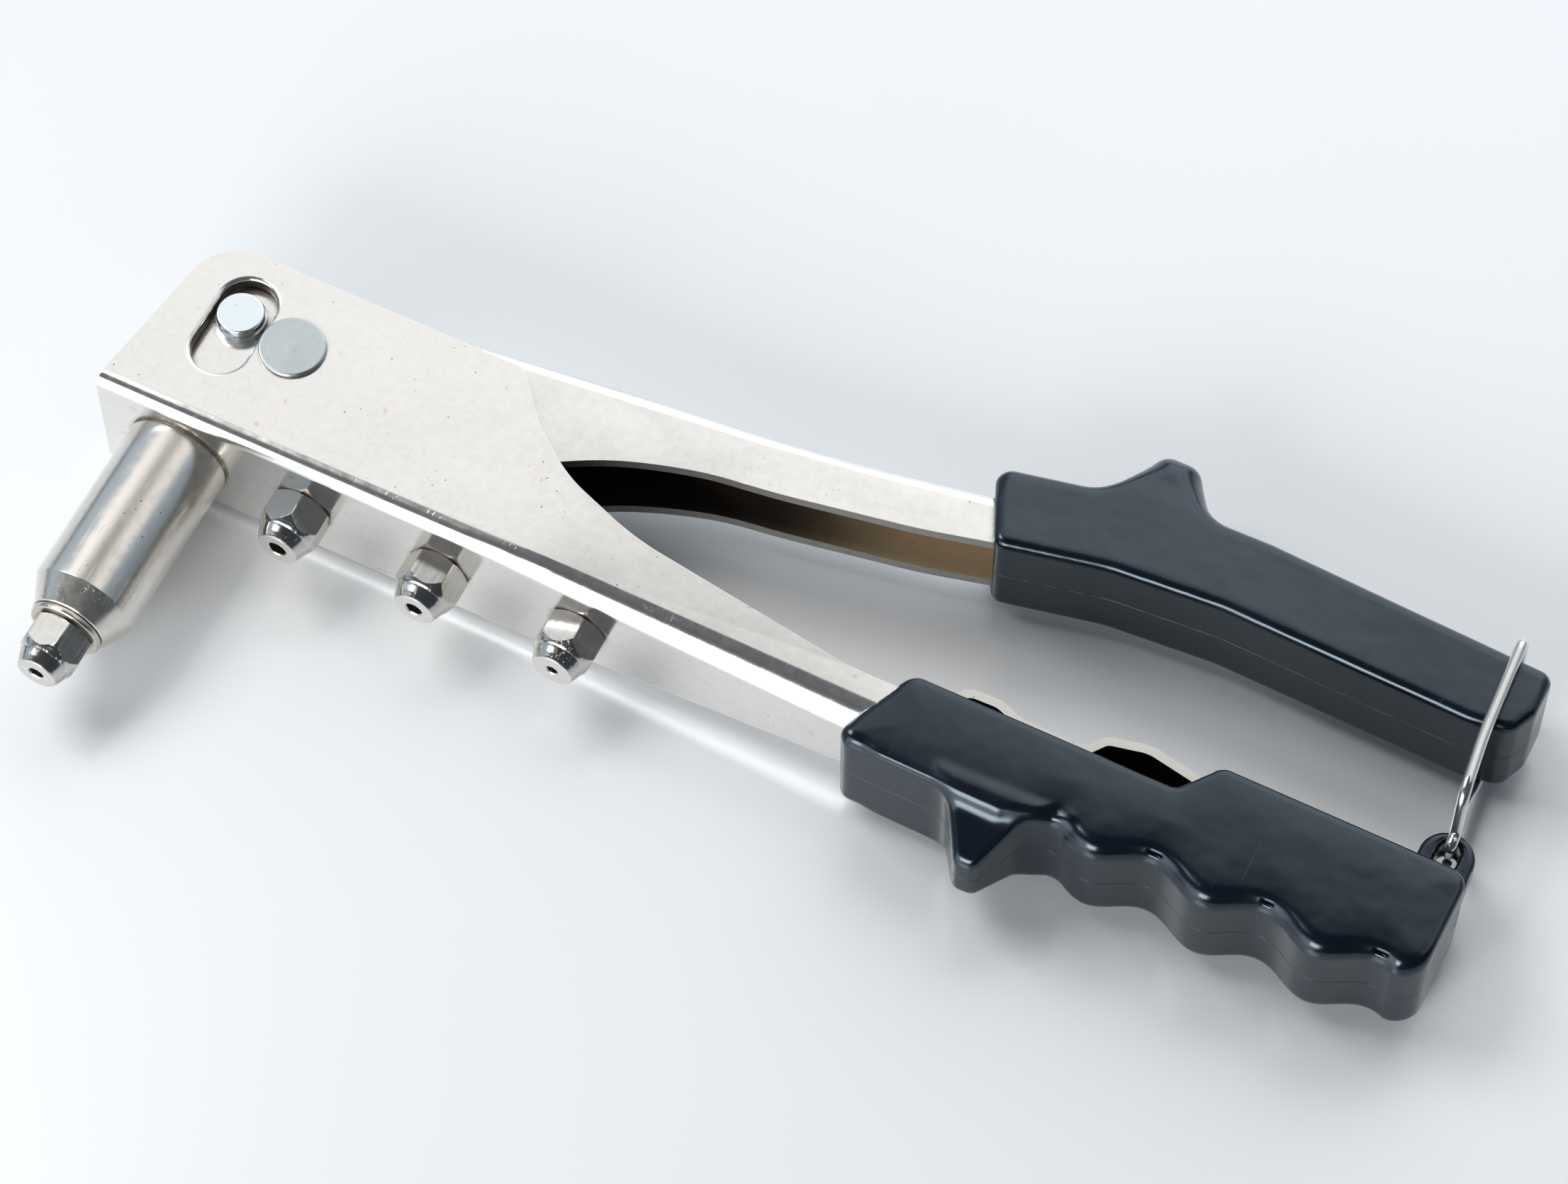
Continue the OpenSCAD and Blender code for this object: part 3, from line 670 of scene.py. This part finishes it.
def build_frame():
    """A bent sheet cut to the cheeks' outline, with its slot and holes."""
    outer = loft("frame_sheet", [channel_ring(x, frame_half(x), 0, 60, bend_radius(x))
                                 for x in FRAME_X])
    inner = loft("frame_room", [channel_ring(x, frame_half(x) - SHEET, SHEET, 70,
                                             max(bend_radius(x) - SHEET, 0.5))
                                for x in [-40] + FRAME_X[1:-1] + [260]])
    combine(outer, [prism("cheeks", CHEEK, -THROUGH, THROUGH)], "INTERSECT")
    combine(outer, [inner, slot_cutter(), hole_z("pivot_hole", *PIVOT, PIVOT_HOLE),
                    bore("barrel_hole", BARREL_HOLE, -4, 6)]
            + [bore("spare_hole", SPARE_HOLE, -4, 6, x) for x in SPARES])
    tidy_mesh(outer)
    bevel(outer, 0.5, 33, 4)
    shade(outer)

    def pick(c, nrm):
        """1 for the faces painted dark brown for their shade, with some oil and rust:
        inside the channel and the walls of the slots.
        """
        w = frame_half(c.x) - SHEET
        slot = math.hypot(c.x - SLOT_X, c.y - min(max(c.y, SLOT_ENDS[0]), SLOT_ENDS[1]))
        cheek = abs(c.z) < w + 0.08 and nrm.z * c.z < -0.2 * abs(c.z) and c.y > 1.8
        web = abs(c.y - SHEET) < 0.1 and nrm.y > 0.8 and abs(c.z) < w
        wall = slot < SLOT_HALF + 0.3 and abs(nrm.z) < 0.45
        return int(cheek or web or wall)

    finish_piece(outer, "frame_body", ["frame"], [m_frame, m_inside_shade], pick)


build_frame()

# ---------------------------------------------------------------- lever
# the lever's back and front edge from the side, as [x, y]
LEVER_BACK = [(14, 33.2), (20, 34.2), (66, 41.2), (104, 46.3), (127, 50.4), (150, 54.7),
              (168, 57), (214, 56.4)]
LEVER_FRONT = [(22, 4.5), (32, 8.6), (44, 13.2), (54, 17.8), (61, 22.6), (67, 26.2),
               (73, 28.9), (84, 32.4), (97, 34.5), (109, 36.7), (121, 39), (132, 41.8),
               (150, 46), (168, 47.9), (214, 46.8)]
LEVER_END = 214
NARROWS = (30, 90)          # where the lever closes in from its head to its tail
HEAD_R = 17.4
LEVER_BEND = 2.6            # outer bend radius of the lever's sheet
RIVET_WAY, PIN_WAY = 3.05, 4.45


def lever_half(x):
    """Half width of the lever at x."""
    way = (float(x) - NARROWS[0]) / (NARROWS[1] - NARROWS[0])
    line = LEVER_HALF - (LEVER_HALF - LEVER_TAIL_HALF) * way
    return float(np.clip(line, LEVER_TAIL_HALF, LEVER_HALF))


def build_lever():
    """A bent sheet cut to the lever's outline, its round head open at the back."""
    head_end = 20           # up to here there is no back, only the two cheeks
    xs = list(np.arange(-12, 30, 6)) + list(np.arange(30, LEVER_END + 0.1, 4))
    outer = loft("lever_sheet", [
        channel_ring(x, lever_half(x), max(y, 34.6) if x < head_end else y, -20, LEVER_BEND)
        for x, y in zip(xs, curve(LEVER_BACK, xs))])
    room_x = [16.0] + [x for x in xs if x > head_end] + [230]
    inner = loft("lever_room", [
        channel_ring(x, lever_half(x) - LEVER_SHEET, y, -40, 0.8)
        for x, y in zip(room_x, curve(LEVER_BACK, room_x) - LEVER_SHEET)])
    w = LEVER_HALF - LEVER_SHEET
    head_room = loft("head_room", [[(x, -30, -w), (x, 80, -w), (x, 80, w), (x, -30, w)]
                                   for x in (-40, head_end)])
    top = np.linspace(PIVOT[0] - 3, LEVER_END, 90)
    low = np.linspace(22, LEVER_END, 90)
    roof = np.where(top < head_end, 40, curve(LEVER_BACK, top) + 3)
    outline = (list(zip(top, roof))
               + list(zip(low[::-1], curve(LEVER_FRONT, low)[::-1]))
               + [(PIVOT[0] + 2, PIVOT[1] - HEAD_R + 0.3)])
    body = prism("lever_outline", outline, -THROUGH, THROUGH)
    combine(body, [hole_z("lever_head", *PIVOT, HEAD_R, steps=160)], "UNION")
    combine(outer, [body], "INTERSECT")
    combine(outer, [inner, head_room, hole_z("rivet_way", *PIVOT, RIVET_WAY),
                    hole_z("pin_way", *PIN, PIN_WAY)])
    tidy_mesh(outer)
    bevel(outer, 0.4, 33, 4)
    shade(outer)

    def pick(c, nrm):
        """2 for the sheared front edges, 1 inside the channel (painted shade), 0 outside.
        """
        front = float(curve(LEVER_FRONT, [c.x])[0])
        if c.x > 60 and nrm.y < -0.55 and abs(c.y - front) < 1.0:
            return 2
        under = float(curve(LEVER_BACK, [c.x])[0]) - LEVER_SHEET
        within = abs(c.z) < lever_half(c.x) - LEVER_SHEET + 0.1
        return int(within and (nrm.z * c.z < -0.3 * abs(c.z)
                               or (nrm.y < -0.5 and abs(c.y - under) < 0.4)))

    finish_piece(outer, "lever_body", ["lever"],
                 [m_lever, m_channel_shade, m_edge], pick)


build_lever()


# ---------------------------------------------------------------- barrel and nose
def arc(cx, cy, r, a0, a1, steps=6):
    """Points of an arc, angles in degrees from +radius towards +height."""
    return [(cx + r * math.cos(math.radians(a0 + (a1 - a0) * k / steps)),
             cy + r * math.sin(math.radians(a0 + (a1 - a0) * k / steps)))
            for k in range(steps + 1)]


BARREL_R = (barrel_hi.x - barrel_lo.x) * 500
BARREL_BORE, NOSE_BORE = 6.0, 3.0
FRONT, WASHER_FRONT = -37.4, -38.6


def build_barrel():
    """A tube with a small step at the spine and a cone at the nose."""
    floor_y = FRONT + 3.4
    inner = [(NOSE_BORE, FRONT), (NOSE_BORE, floor_y), (BARREL_BORE, floor_y),
             (BARREL_BORE, 4.8), (BARREL_HOLE, 4.8), (BARREL_HOLE, 0.0)]
    outer = ([(BARREL_R - 0.35, 0.0), (BARREL_R - 0.35, -0.25), (BARREL_R, -0.6)]
             + arc(BARREL_R - 0.5, -32.7, 0.5, 0, -20, 5)
             + arc(6.5, -36.95, 0.45, -20, -90, 5))
    ob = lathe("barrel_tube", inner + outer, steps=128)
    shade(ob, 32)
    finish_piece(ob, "frame_body", ["barrel"], [m_barrel])


def build_washer():
    """A thin ring with rounded rims."""
    y0, y1, edge = WASHER_FRONT, FRONT, 0.35
    profile = ([(3.1, y0), (3.1, y1), (6.2, y1)] + arc(6.15, y1 - edge, edge, 90, 0, 4)
               + arc(6.15, y0 + edge, edge, 0, -90, 4))
    ob = lathe("nose_ring", profile, steps=96)
    shade(ob, 40)
    m = lathe_metal("ring_steel", row(0, 0), "Y", (0.70, 0.66, 0.58), 0.26, 0.5, 0.3)
    finish_piece(ob, "frame_body", ["nose_washer"], [m])


def hexagon(across_flats, turn):
    """Outline with slightly rounded corners, turned by degrees."""
    r = across_flats / math.sqrt(3)
    pts = [(r * math.cos(math.radians(60 * k + turn)),
            r * math.sin(math.radians(60 * k + turn)), 0.3) for k in range(6)]
    return rounded(pts, 4)


NOSE_FLATS, NOSE_LONG = 10.0, 9.1
STEEL = (0.72, 0.70, 0.66)


def build_nosepiece(name, node, x, seat, hole, turn):
    """Hexagon with chamfered corners, a coned front and a flat face with its hole."""
    ob = loft(name, [[(u, y, w) for u, w in hexagon(NOSE_FLATS, turn)]
                     for y in (-7.2, 0.0)])
    cone = lathe("cone", [(0, -7.2), (4.6, -6.75), (4.95, -6.2), (5.30, -5.55),
                          (5.62, -5.0), (5.95, -4.2), (6.3, -3.2), (6.3, -1.5),
                          (5.6, -0.55), (4.9, 0.0), (0, 0.0)], steps=128)
    combine(ob, [cone], "INTERSECT")
    front = lathe("front", [(0, -NOSE_LONG), (3.45, -NOSE_LONG)]
                  + arc(3.5, 0.15 - NOSE_LONG, 0.15, -90, -20, 3)
                  + [(4.15, -8.0), (4.40, -7.2), (4.62, -6.6), (4.4, -6.0), (0, -6.0)],
                  steps=128)
    combine(ob, [front, bore("thread", SPARE_HOLE, -1.0, 5.4)], "UNION")
    flare = 0.22
    drill = lathe("drill", [(0, -9.6), (hole + 0.5 + flare, -9.6),
                            (hole + flare, -NOSE_LONG), (hole, flare * 1.2 - NOSE_LONG),
                            (hole, -1.2), (2.0, -0.9), (2.0, 6.0), (0, 6.0)], steps=64)
    combine(ob, [drill])
    tidy_mesh(ob, 0.4)
    bevel(ob, 0.09, 16, 2)
    shade(ob, 34)
    ob.data.transform(Matrix.Translation((x, seat, 0)))
    n, base, r, normal = plated("nose_steel_" + name, STEEL, 0.17, wave=0.2, grain=0.7,
                                scratch=0.9)
    normal = turned(n, row(x, 0), "Y", 0.34, normal, 0.35)
    tip = (row(x, seat - NOSE_LONG)[1]) * 1000
    face = n.remap(n.xyz()[1], tip + 0.02, tip + 0.35, 1, 0)
    base = n.mix(n.math("MULTIPLY", face, 0.5), base, (0.86, 0.84, 0.80))
    r = n.math("ADD", r, n.math("MULTIPLY", face, 0.22))
    finish_piece(ob, "frame_body", [node],
                 [n.done(base, r, normal, 1.0)])


build_barrel()
build_washer()
build_nosepiece("nose_fitted", "mounted_nosepiece", 0.0, WASHER_FRONT, 1.3, 7)
for k, (node, hole, turn) in enumerate((("spare_nosepiece_large", 1.6, 22),
                                        ("spare_nosepiece_medium", 1.45, -4),
                                        ("spare_nosepiece_small", 0.98, 11))):
    build_nosepiece("nose_spare_%d" % (k + 1), node, SPARES[k], 0.0, hole, turn)


# ---------------------------------------------------------------- rivet and carrier pin
def two_ended(name, half, centre):
    """A turned piece across the tool from the profile of its upper half."""
    return lathe(name, half + [(a, -b) for a, b in reversed(half)], (*centre, 0), "Z", 96)


def build_rivet():
    """Thin wide heads on a plain shank."""
    z, top = FRAME_HALF, RIVET_HI.z
    r = (RIVET_HI.x - RIVET_LO.x) / 2
    half = ([(0, top), (1.1, top), (1.5, top - 0.03), (r - 1.4, top - 0.02),
             (r - 0.65, top - 0.06)] + arc(r - 0.35, top - 0.36, 0.33, 80, 0, 5)
            + [(r, z + 0.12), (r - 0.15, z), (3.0, z)])
    ob = two_ended("rivet", half, PIVOT)
    shade(ob, 40)
    finish_piece(ob, "frame_body", ["pivot_rivet"], [m_rivet])


def build_pin():
    """Flat ends with a rounded rim, a shoulder and a thinner middle."""
    z, rim = PIN_HI.z, 0.32
    half = ([(0, z), (3.70, z), (3.75, z)] + arc(3.75, z - rim, rim, 90, 0, 5)
            + [(4.12, 12.1), (4.42, 11.9), (4.45, 11.6), (4.45, 8.7), (4.0, 8.6)])
    ob = two_ended("pin", half, PIN)
    shade(ob, 35)
    finish_piece(ob, "lever_body", ["carrier_pin"], [m_pin])


build_rivet()
build_pin()


# ---------------------------------------------------------------- wrench in the handle
def build_wrench():
    """A bent strip along the handle with a hexagonal hole."""
    half_t, hex_x, hex_flats = 0.8, 156, 10.2
    y0 = SHEET + 0.85
    path = rounded([(130, y0, 0), (136, y0, 2.4), (140.5, 14.5, 3), (146.5, 14.7, 5),
                    (151, 13, 6), (162.5, 13, 2), (165, 16.4, 2.6), (172, 18, 7),
                    (183, 16, 6), (192, 16.05, 3), (200, 16.05, 0)], 10)
    pts = [Vector(p) for p in path]
    up, down = [], []
    for i, p in enumerate(pts):
        d = (pts[min(i + 1, len(pts) - 1)] - pts[max(i - 1, 0)]).normalized()
        nrm = Vector((-d.y, d.x))
        up.append(tuple(p + nrm * half_t))
        down.append(tuple(p - nrm * half_t))
    ob = prism("wrench_strip", up + down[::-1], WRENCH_LO.z, WRENCH_HI.z)
    combine(ob, [loft("hex_cut", [[(hex_x + w, y, u) for u, w in hexagon(hex_flats, 0)]
                                  for y in (8, 30)])])
    tidy_mesh(ob)
    bevel(ob, 0.22, 35, 2)
    shade(ob)

    def pick(c, nrm):
        """1 for the underside, painted near-black for its shade."""
        return int(nrm.y < -0.35 and abs(nrm.z) < 0.4)

    finish_piece(ob, "frame_body", ["nosepiece_wrench"],
                 [m_wrench, m_wrench_shade], pick)


build_wrench()


# ---------------------------------------------------------------- grips
FINGERS_FROM, FINGER_PITCH = 163.5, 19.7
EAR = (222.3, 23.7)         # middle of the latch wire's ear
EAR_HOLE = (22.9, 24.9)     # its hole is long in y


def finger(x):
    """The front of the lower grip along the finger seats."""
    return float(-3.1 - 1.75 * np.cos((x - 171.2) * 2 * math.pi / FINGER_PITCH))


def lower_outline():
    seats = [(x, finger(x)) for x in np.arange(FINGERS_FROM, 226, 0.8)]
    back = [(124.9, -4.4, 2.4), (127.2, 2, 8), (131.8, 12, 3.6), (179, 12, 1.6),
            (184.4, 18.9, 3), (GRIP_END, 18.7, 3.2), (GRIP_END, -1.9, 4.6)]
    return (rounded(back, 10) + seats[::-1]
            + [(FINGERS_FROM, finger(FINGERS_FROM)), (155, -4.6), (141, -4.5)])


LOWER = lower_outline()
SPUR = rounded([(143.5, -2.0, 0), (146.2, -4.8, 6), (151.6, -13.6, 2.0),
                (155.2, -13.5, 2.0), (159.5, -4.0, 6), (166, -1.0, 0)], 8)
UPPER = rounded([
    (UPPER_LO.x + 6.6, 40.2, 2.4), (152, 44.4, 30), (172, 46, 30), (217, 44.8, 20),
    (223.6, 46, 3), (UPPER_HI.x - 0.05, 51, 3), (UPPER_HI.x - 0.05, 59.4, 2.4),
    (200, 60.6, 60), (174, 62, 14), (163.0, 61.8, 6), (157.0, 71.35, 3.3),
    (150.4, 71.35, 3.5), (144.9, 59.2, 8), (UPPER_LO.x + 0.1, 55.2, 2.8)], 14)


def pillow(d2, reach, drop):
    """How far a domed face falls away towards its outline."""
    return drop * np.clip(1 + d2 / reach, 0, 1.2) ** 2


def lower_distance(p):
    """The lower grip as a signed distance."""
    x, y, z = p.T
    d2 = polygon_distance(p[:, :2], LOWER)
    # the long edges are rounder along the finger seats and at the grip's mouth
    edge = (1.1 + 1.9 * (1 - smooth(-2, 5, y)) * smooth(160, 164, x)
            + 0.9 * (1 - smooth(130, 134, x)))
    d = slab(d2, z, 10.9 - pillow(d2, 8.0, 0.3), edge)
    # guard spur: a hooked wedge, thin at its tip and flaring to the full thickness
    spur = polygon_distance(p[:, :2], SPUR)
    thick = np.interp(y, [-14, -2.5], [4.9, 10.2])
    wedge = slab(spur, z, 10.2, 1.3)
    wedge = blend_max(wedge, (np.abs(z) - thick) * 0.88, 1.4)
    d = blend_min(d, wedge, 2.4)
    # ear for the latch wire
    ear = np.hypot(x - EAR[0], y - EAR[1]) - 4.7
    post = polygon_distance(p[:, :2], [(217.0, 15), (227.6, 15), (226.9, EAR[1]),
                                       (217.7, EAR[1])])
    d = blend_min(d, slab(np.minimum(ear, post), z, 3.0, 0.8), 0.9)
    # pocket for the frame: rounded below, closed behind, with a window above
    half, bend = TAIL_HALF + 0.03, 4.78
    low = block(p, (100, -0.02, -half), (183.5, 9.05, half), 0.0)
    corner = np.hypot(np.maximum(np.abs(z) - 5.0, 0), np.minimum(y - bend, 0)) - bend
    low = np.maximum(low, np.where((np.abs(z) > 5.0) & (y < bend), corner, low))
    rear = block(p, (150, -0.02, -half), (222.05, 16.95, half), 0.3)
    window = block(p, (134.0, 1.0, -9.6), (183.8, 40, 9.6), 1.2)
    d = blend_max(d, -low, 0.5)
    d = blend_max(d, -np.maximum(rear, 178 - x), 0.4)
    d = blend_max(d, -window, 0.6)
    hole = np.hypot(x - EAR[0], y - np.clip(y, *EAR_HOLE)) - 1.9
    return blend_max(d, -hole, 0.5)


def upper_distance(p):
    """The upper grip as a signed distance."""
    x, y, z = p.T
    d2 = polygon_distance(p[:, :2], UPPER)
    bump = smooth(60, 69, y) * smooth(141, 147, x) * (1 - smooth(161, 167, x))
    rise = np.clip((y - curve(LEVER_FRONT, x)) / 18, 0, 1)
    lean = 1.0 * rise * (1 - 0.6 * smooth(170, 215, x))
    d = slab(d2, z, 10.0 - lean * (1 - bump) - 1.2 * bump,
             1.5 + 1.1 * smooth(0.4, 0.8, rise) + 2.8 * bump)
    # pocket for the lever, a hair wider than its sheet
    half = np.interp(x, NARROWS, [LEVER_HALF, LEVER_TAIL_HALF]) + 0.03
    roof, under = curve(LEVER_BACK, x) + 0.03, curve(LEVER_FRONT, x) - 0.03
    room = np.maximum(np.maximum(np.abs(z) - half, y - roof),
                      np.maximum(under - y, x - LEVER_END - 0.1))
    u, v = np.abs(z) - half + LEVER_BEND, y - roof + LEVER_BEND
    corner = np.hypot(np.maximum(u, 0), np.maximum(v, 0)) - LEVER_BEND
    room = np.where((u > 0) & (v > 0), np.maximum(room, corner), room)
    return blend_max(d, -room, 0.4)


STEP = 0.5      # grid of the surface net, mm
lower = net("grip_lower", lower_distance, (123.5, -14.5, -11.5), (228.5, 29.6, 11.5), STEP)
finish_piece(lower, "frame_body", ["lower_grip"], [m_vinyl])
upper = net("grip_upper", upper_distance, (124.5, 39, -10.6), (226.5, 72, 10.6), STEP)
finish_piece(upper, "lever_body", ["upper_grip"], [m_vinyl])


# ---------------------------------------------------------------- latch wire
def rounded_path(points, radius, steps=8):
    """Open 3-D path with its corners rounded."""
    pts = [Vector(p) for p in points]
    out = [pts[0]]
    for p, q, r in zip(pts, pts[1:], pts[2:]):
        a, b = (p - q), (r - q)
        reach = min(radius, a.length * 0.48, b.length * 0.48)
        s, e = q + a.normalized() * reach, q + b.normalized() * reach
        for k in range(steps + 1):
            t = k / steps
            out.append(s * (1 - t) ** 2 + q * 2 * t * (1 - t) + e * t**2)
    out.append(pts[-1])
    return out


def tube(name, path, radius, sides=28):
    """Round wire along a path; radius is a number or a function of the point."""
    rings, up = [], None
    for i, p in enumerate(path):
        d = (path[min(i + 1, len(path) - 1)] - path[max(i - 1, 0)]).normalized()
        if up is None:
            up = d.orthogonal().normalized()
        up = (up - d * up.dot(d)).normalized()
        side = d.cross(up)
        r = radius(i, len(path)) if callable(radius) else radius
        rings.append([tuple(p + (up * math.cos(a) + side * math.sin(a)) * r)
                      for a in (2 * math.pi * k / sides for k in range(sides))])
    return loft(name, rings)


def build_bail():
    """From one bent-in end in the ear over the upper grip to the other end."""
    to_axis = 1.1           # from the wire's box to its centre line
    half, x0 = BAIL_HI.z - to_axis, BAIL_LO.x + to_axis
    bx, by, ear_z = EAR[0], EAR_HOLE[1], 4.5
    one = [(x0, BAIL_HI.y - to_axis, half), (bx - 2.4, by + 17, half - 0.15),
           (bx - 1.1, by + 6.6, half - 0.1), (bx - 0.2, by + 2.3, ear_z),
           (bx, by, ear_z), (bx, by, 1.4)]
    mirrored = [(a, b, -c) for a, b, c in reversed(one)]

    def radius(i, n):
        return 1.0 if 1 < i < n - 2 else 0.8

    ob = tube("latch_wire", rounded_path(mirrored + one, 2.6), radius)
    shade(ob, 45)
    finish_piece(ob, "latch", ["bail_wire"], [m_wire])


build_bail()


# ---------------------------------------------------------------- spring in the barrel
def build_spring():
    """A coil with closed ends in the place of the CAD's rings."""
    lo, hi = node_box("pusher_spring")
    wire, turns, steps = 0.4, 4.5, 180
    r, y0, y1 = (hi.x - lo.x) / 2 - wire, lo.y + wire, hi.y - wire
    path = []
    for t in (k / steps for k in range(steps + 1)):
        rise = float(np.interp(t, [0, 0.16, 0.84, 1], [0, 0.04, 0.96, 1]))
        a = 2 * math.pi * turns * t
        path.append(Vector((r * math.cos(a), y0 + (y1 - y0) * rise, r * math.sin(a))))
    ob = tube("spring_coil", path, wire, 12)
    shade(ob, 45)
    finish_piece(ob, "jaw_carriage", ["pusher_spring"], [m_steel])


build_spring()

# ---------------------------------------------------------------- CAD nodes that stay
for name in ("barrel_nut", "pivot_bush", "pivot_washers", "jaw_carrier", "lock_nut",
             "jaw_case", "jaw_left", "jaw_right", "jaw_pusher"):
    node = frame["nodes"][name]
    node.data.materials.clear()
    node.data.materials.append(m_steel)
    if name in ("barrel_nut", "jaw_carrier", "pivot_bush"):
        m = node.modifiers.new("edges", "BEVEL")
        m.width, m.segments, m.limit_method = 0.0003, 2, "ANGLE"
        m.angle_limit = math.radians(40)


# ---------------------------------------------------------------- stage, light, camera
WORLD = 1.04
# directions and colours of the two lamps in the sky, then of the far light's lower and
# upper part and of all the rest
BACK_AT, BACK = (-0.077, 0.88, 0.47), (1.1, 1.12, 1.15)
FRONT_LAMP_AT, FRONT_LAMP = (-0.402, -0.862, 0.309), (1.9, 2.0, 2.1)
WALL, TOP, REST = (0.33, 0.41, 0.50), (0.87, 0.865, 0.86), (0.040, 0.047, 0.056)
TOWARD_CAMERA = (0.447, -0.894, 0.0)
BLACK, WHITE = (0, 0, 0), (1, 1, 1)
AZIMUTH, ELEVATION, DISTANCE, LENS = 26.56, 60.03, 0.9375, 127.12
AIM = (100.4, 28.0, -12.55)


def area(name, place, target, size, power, colour):
    """A square soft light aimed at target."""
    data = bpy.data.lights.new(name, "AREA")
    data.energy, data.color = power, colour
    data.shape, data.size, data.size_y = "RECTANGLE", size, size
    ob = bpy.data.objects.new(name, data)
    ob.location = place
    aim = (Vector(target) - Vector(place)).to_track_quat("-Z", "Y")
    ob.rotation_euler = aim.to_euler()
    bpy.context.scene.collection.objects.link(ob)


def floor():
    """A pale satin table top."""
    me = bpy.data.meshes.new("floor")
    s = 2.5     # half its side, metres
    me.from_pydata([(-s, -s, 0), (s, -s, 0), (s, s, 0), (-s, s, 0)], [], [(0, 1, 2, 3)])
    ob = bpy.data.objects.new("floor", me)
    bpy.context.scene.collection.objects.link(ob)
    n = Nodes("floor_satin")
    slow = n.noise(0.01, 2.0)
    base = n.mix(n.remap(slow, 0.3, 0.7), (0.865, 0.883, 0.90), (0.875, 0.893, 0.91))
    me.materials.append(n.done(base, 0.30, None, 0.17, IOR=1.6))
    ob.location.z = -0.0001


def world():
    """A broad soft light behind the tool and one low in front of it, with a dark gap
    overhead and on the camera's side between them, and dim low walls."""
    w = bpy.data.worlds.new("studio")
    bpy.context.scene.world = w
    w.use_nodes = True
    t = w.node_tree
    bg = t.nodes["Background"]
    coord = t.nodes.new("ShaderNodeTexCoord")
    split = t.nodes.new("ShaderNodeSeparateXYZ")
    t.links.new(coord.outputs["Generated"], split.inputs[0])

    def node(kind, operation, a, b):
        """A math node on sockets, numbers or colours."""
        n = t.nodes.new(kind)
        n.operation = operation
        for socket, v in zip(n.inputs, (a, b)):
            if isinstance(v, (float, tuple)):
                socket.default_value = v
            else:
                t.links.new(v, socket)
        return n

    def vector(operation, a, b):
        return node("ShaderNodeVectorMath", operation, a, b).outputs[0]

    def number(operation, a, b, clamp=True):
        n = node("ShaderNodeMath", operation, a, b)
        n.use_clamp = clamp
        return n.outputs[0]

    def along(direction):
        n = node("ShaderNodeVectorMath", "DOT_PRODUCT", coord.outputs["Generated"],
                 direction)
        return n.outputs["Value"]

    def ramp(value, stops):
        r = t.nodes.new("ShaderNodeValToRGB")
        r.color_ramp.interpolation = "EASE"
        e = r.color_ramp.elements
        while len(e) < len(stops):
            e.new(0.5)
        for s, (pos, col) in zip(e, stops):
            s.position, s.color = pos, (*col, 1)
        t.links.new(value, r.inputs[0])
        return r.outputs[0]

    def lamp(at, a, b, colour):
        """A round soft light in the sky, full inside b and gone outside a."""
        return vector("MULTIPLY", ramp(along(at), [(a, BLACK), (b, WHITE)]), colour)

    def band(a, b, c, d, colour):
        """The far light between two heights: rising a to b and falling c to d."""
        height = ramp(split.outputs[2], [(a, BLACK), (b, WHITE), (c, WHITE), (d, BLACK)])
        return vector("MULTIPLY", number("MULTIPLY", far, height), colour)

    near = number("ADD", number("MULTIPLY", along(TOWARD_CAMERA), 0.5, False), 0.5)
    far = ramp(near, [(0.45, WHITE), (0.57, BLACK)])
    total = REST
    for light in (band(0.03, 0.20, 0.62, 0.72, WALL), band(0.62, 0.74, 0.87, 0.935, TOP),
                  lamp(BACK_AT, 0.82, 0.95, BACK),
                  lamp(FRONT_LAMP_AT, 0.86, 0.985, FRONT_LAMP)):
        total = vector("ADD", light, total)
    t.links.new(total, bg.inputs["Color"])
    bg.inputs["Strength"].default_value = WORLD


def camera():
    """The photograph's viewing angle."""
    data = bpy.data.cameras.new("camera")
    data.lens, data.sensor_width = LENS, 36.0
    data.clip_start, data.clip_end = 0.05, 10
    ob = bpy.data.objects.new("camera", data)
    bpy.context.scene.collection.objects.link(ob)
    a, e = math.radians(AZIMUTH), math.radians(ELEVATION)
    back = Vector((math.sin(a) * math.cos(e), -math.cos(a) * math.cos(e), math.sin(e)))
    ob.location = TO_ROW @ Vector(AIM) + back * DISTANCE
    ob.rotation_euler = (-back).to_track_quat("-Z", "Y").to_euler()
    bpy.context.scene.camera = ob


floor()
world()
camera()
area("fill", (-0.10, -1.55, 0.85), (0, 0, 0), 0.7, 14.0, WHITE)
area("key", (-1.22, 0.02, 1.60), (0.02, 0, 0), 0.9, 16.0, (1.0, 0.985, 0.965))
scene = bpy.context.scene
scene.view_settings.view_transform = "Standard"
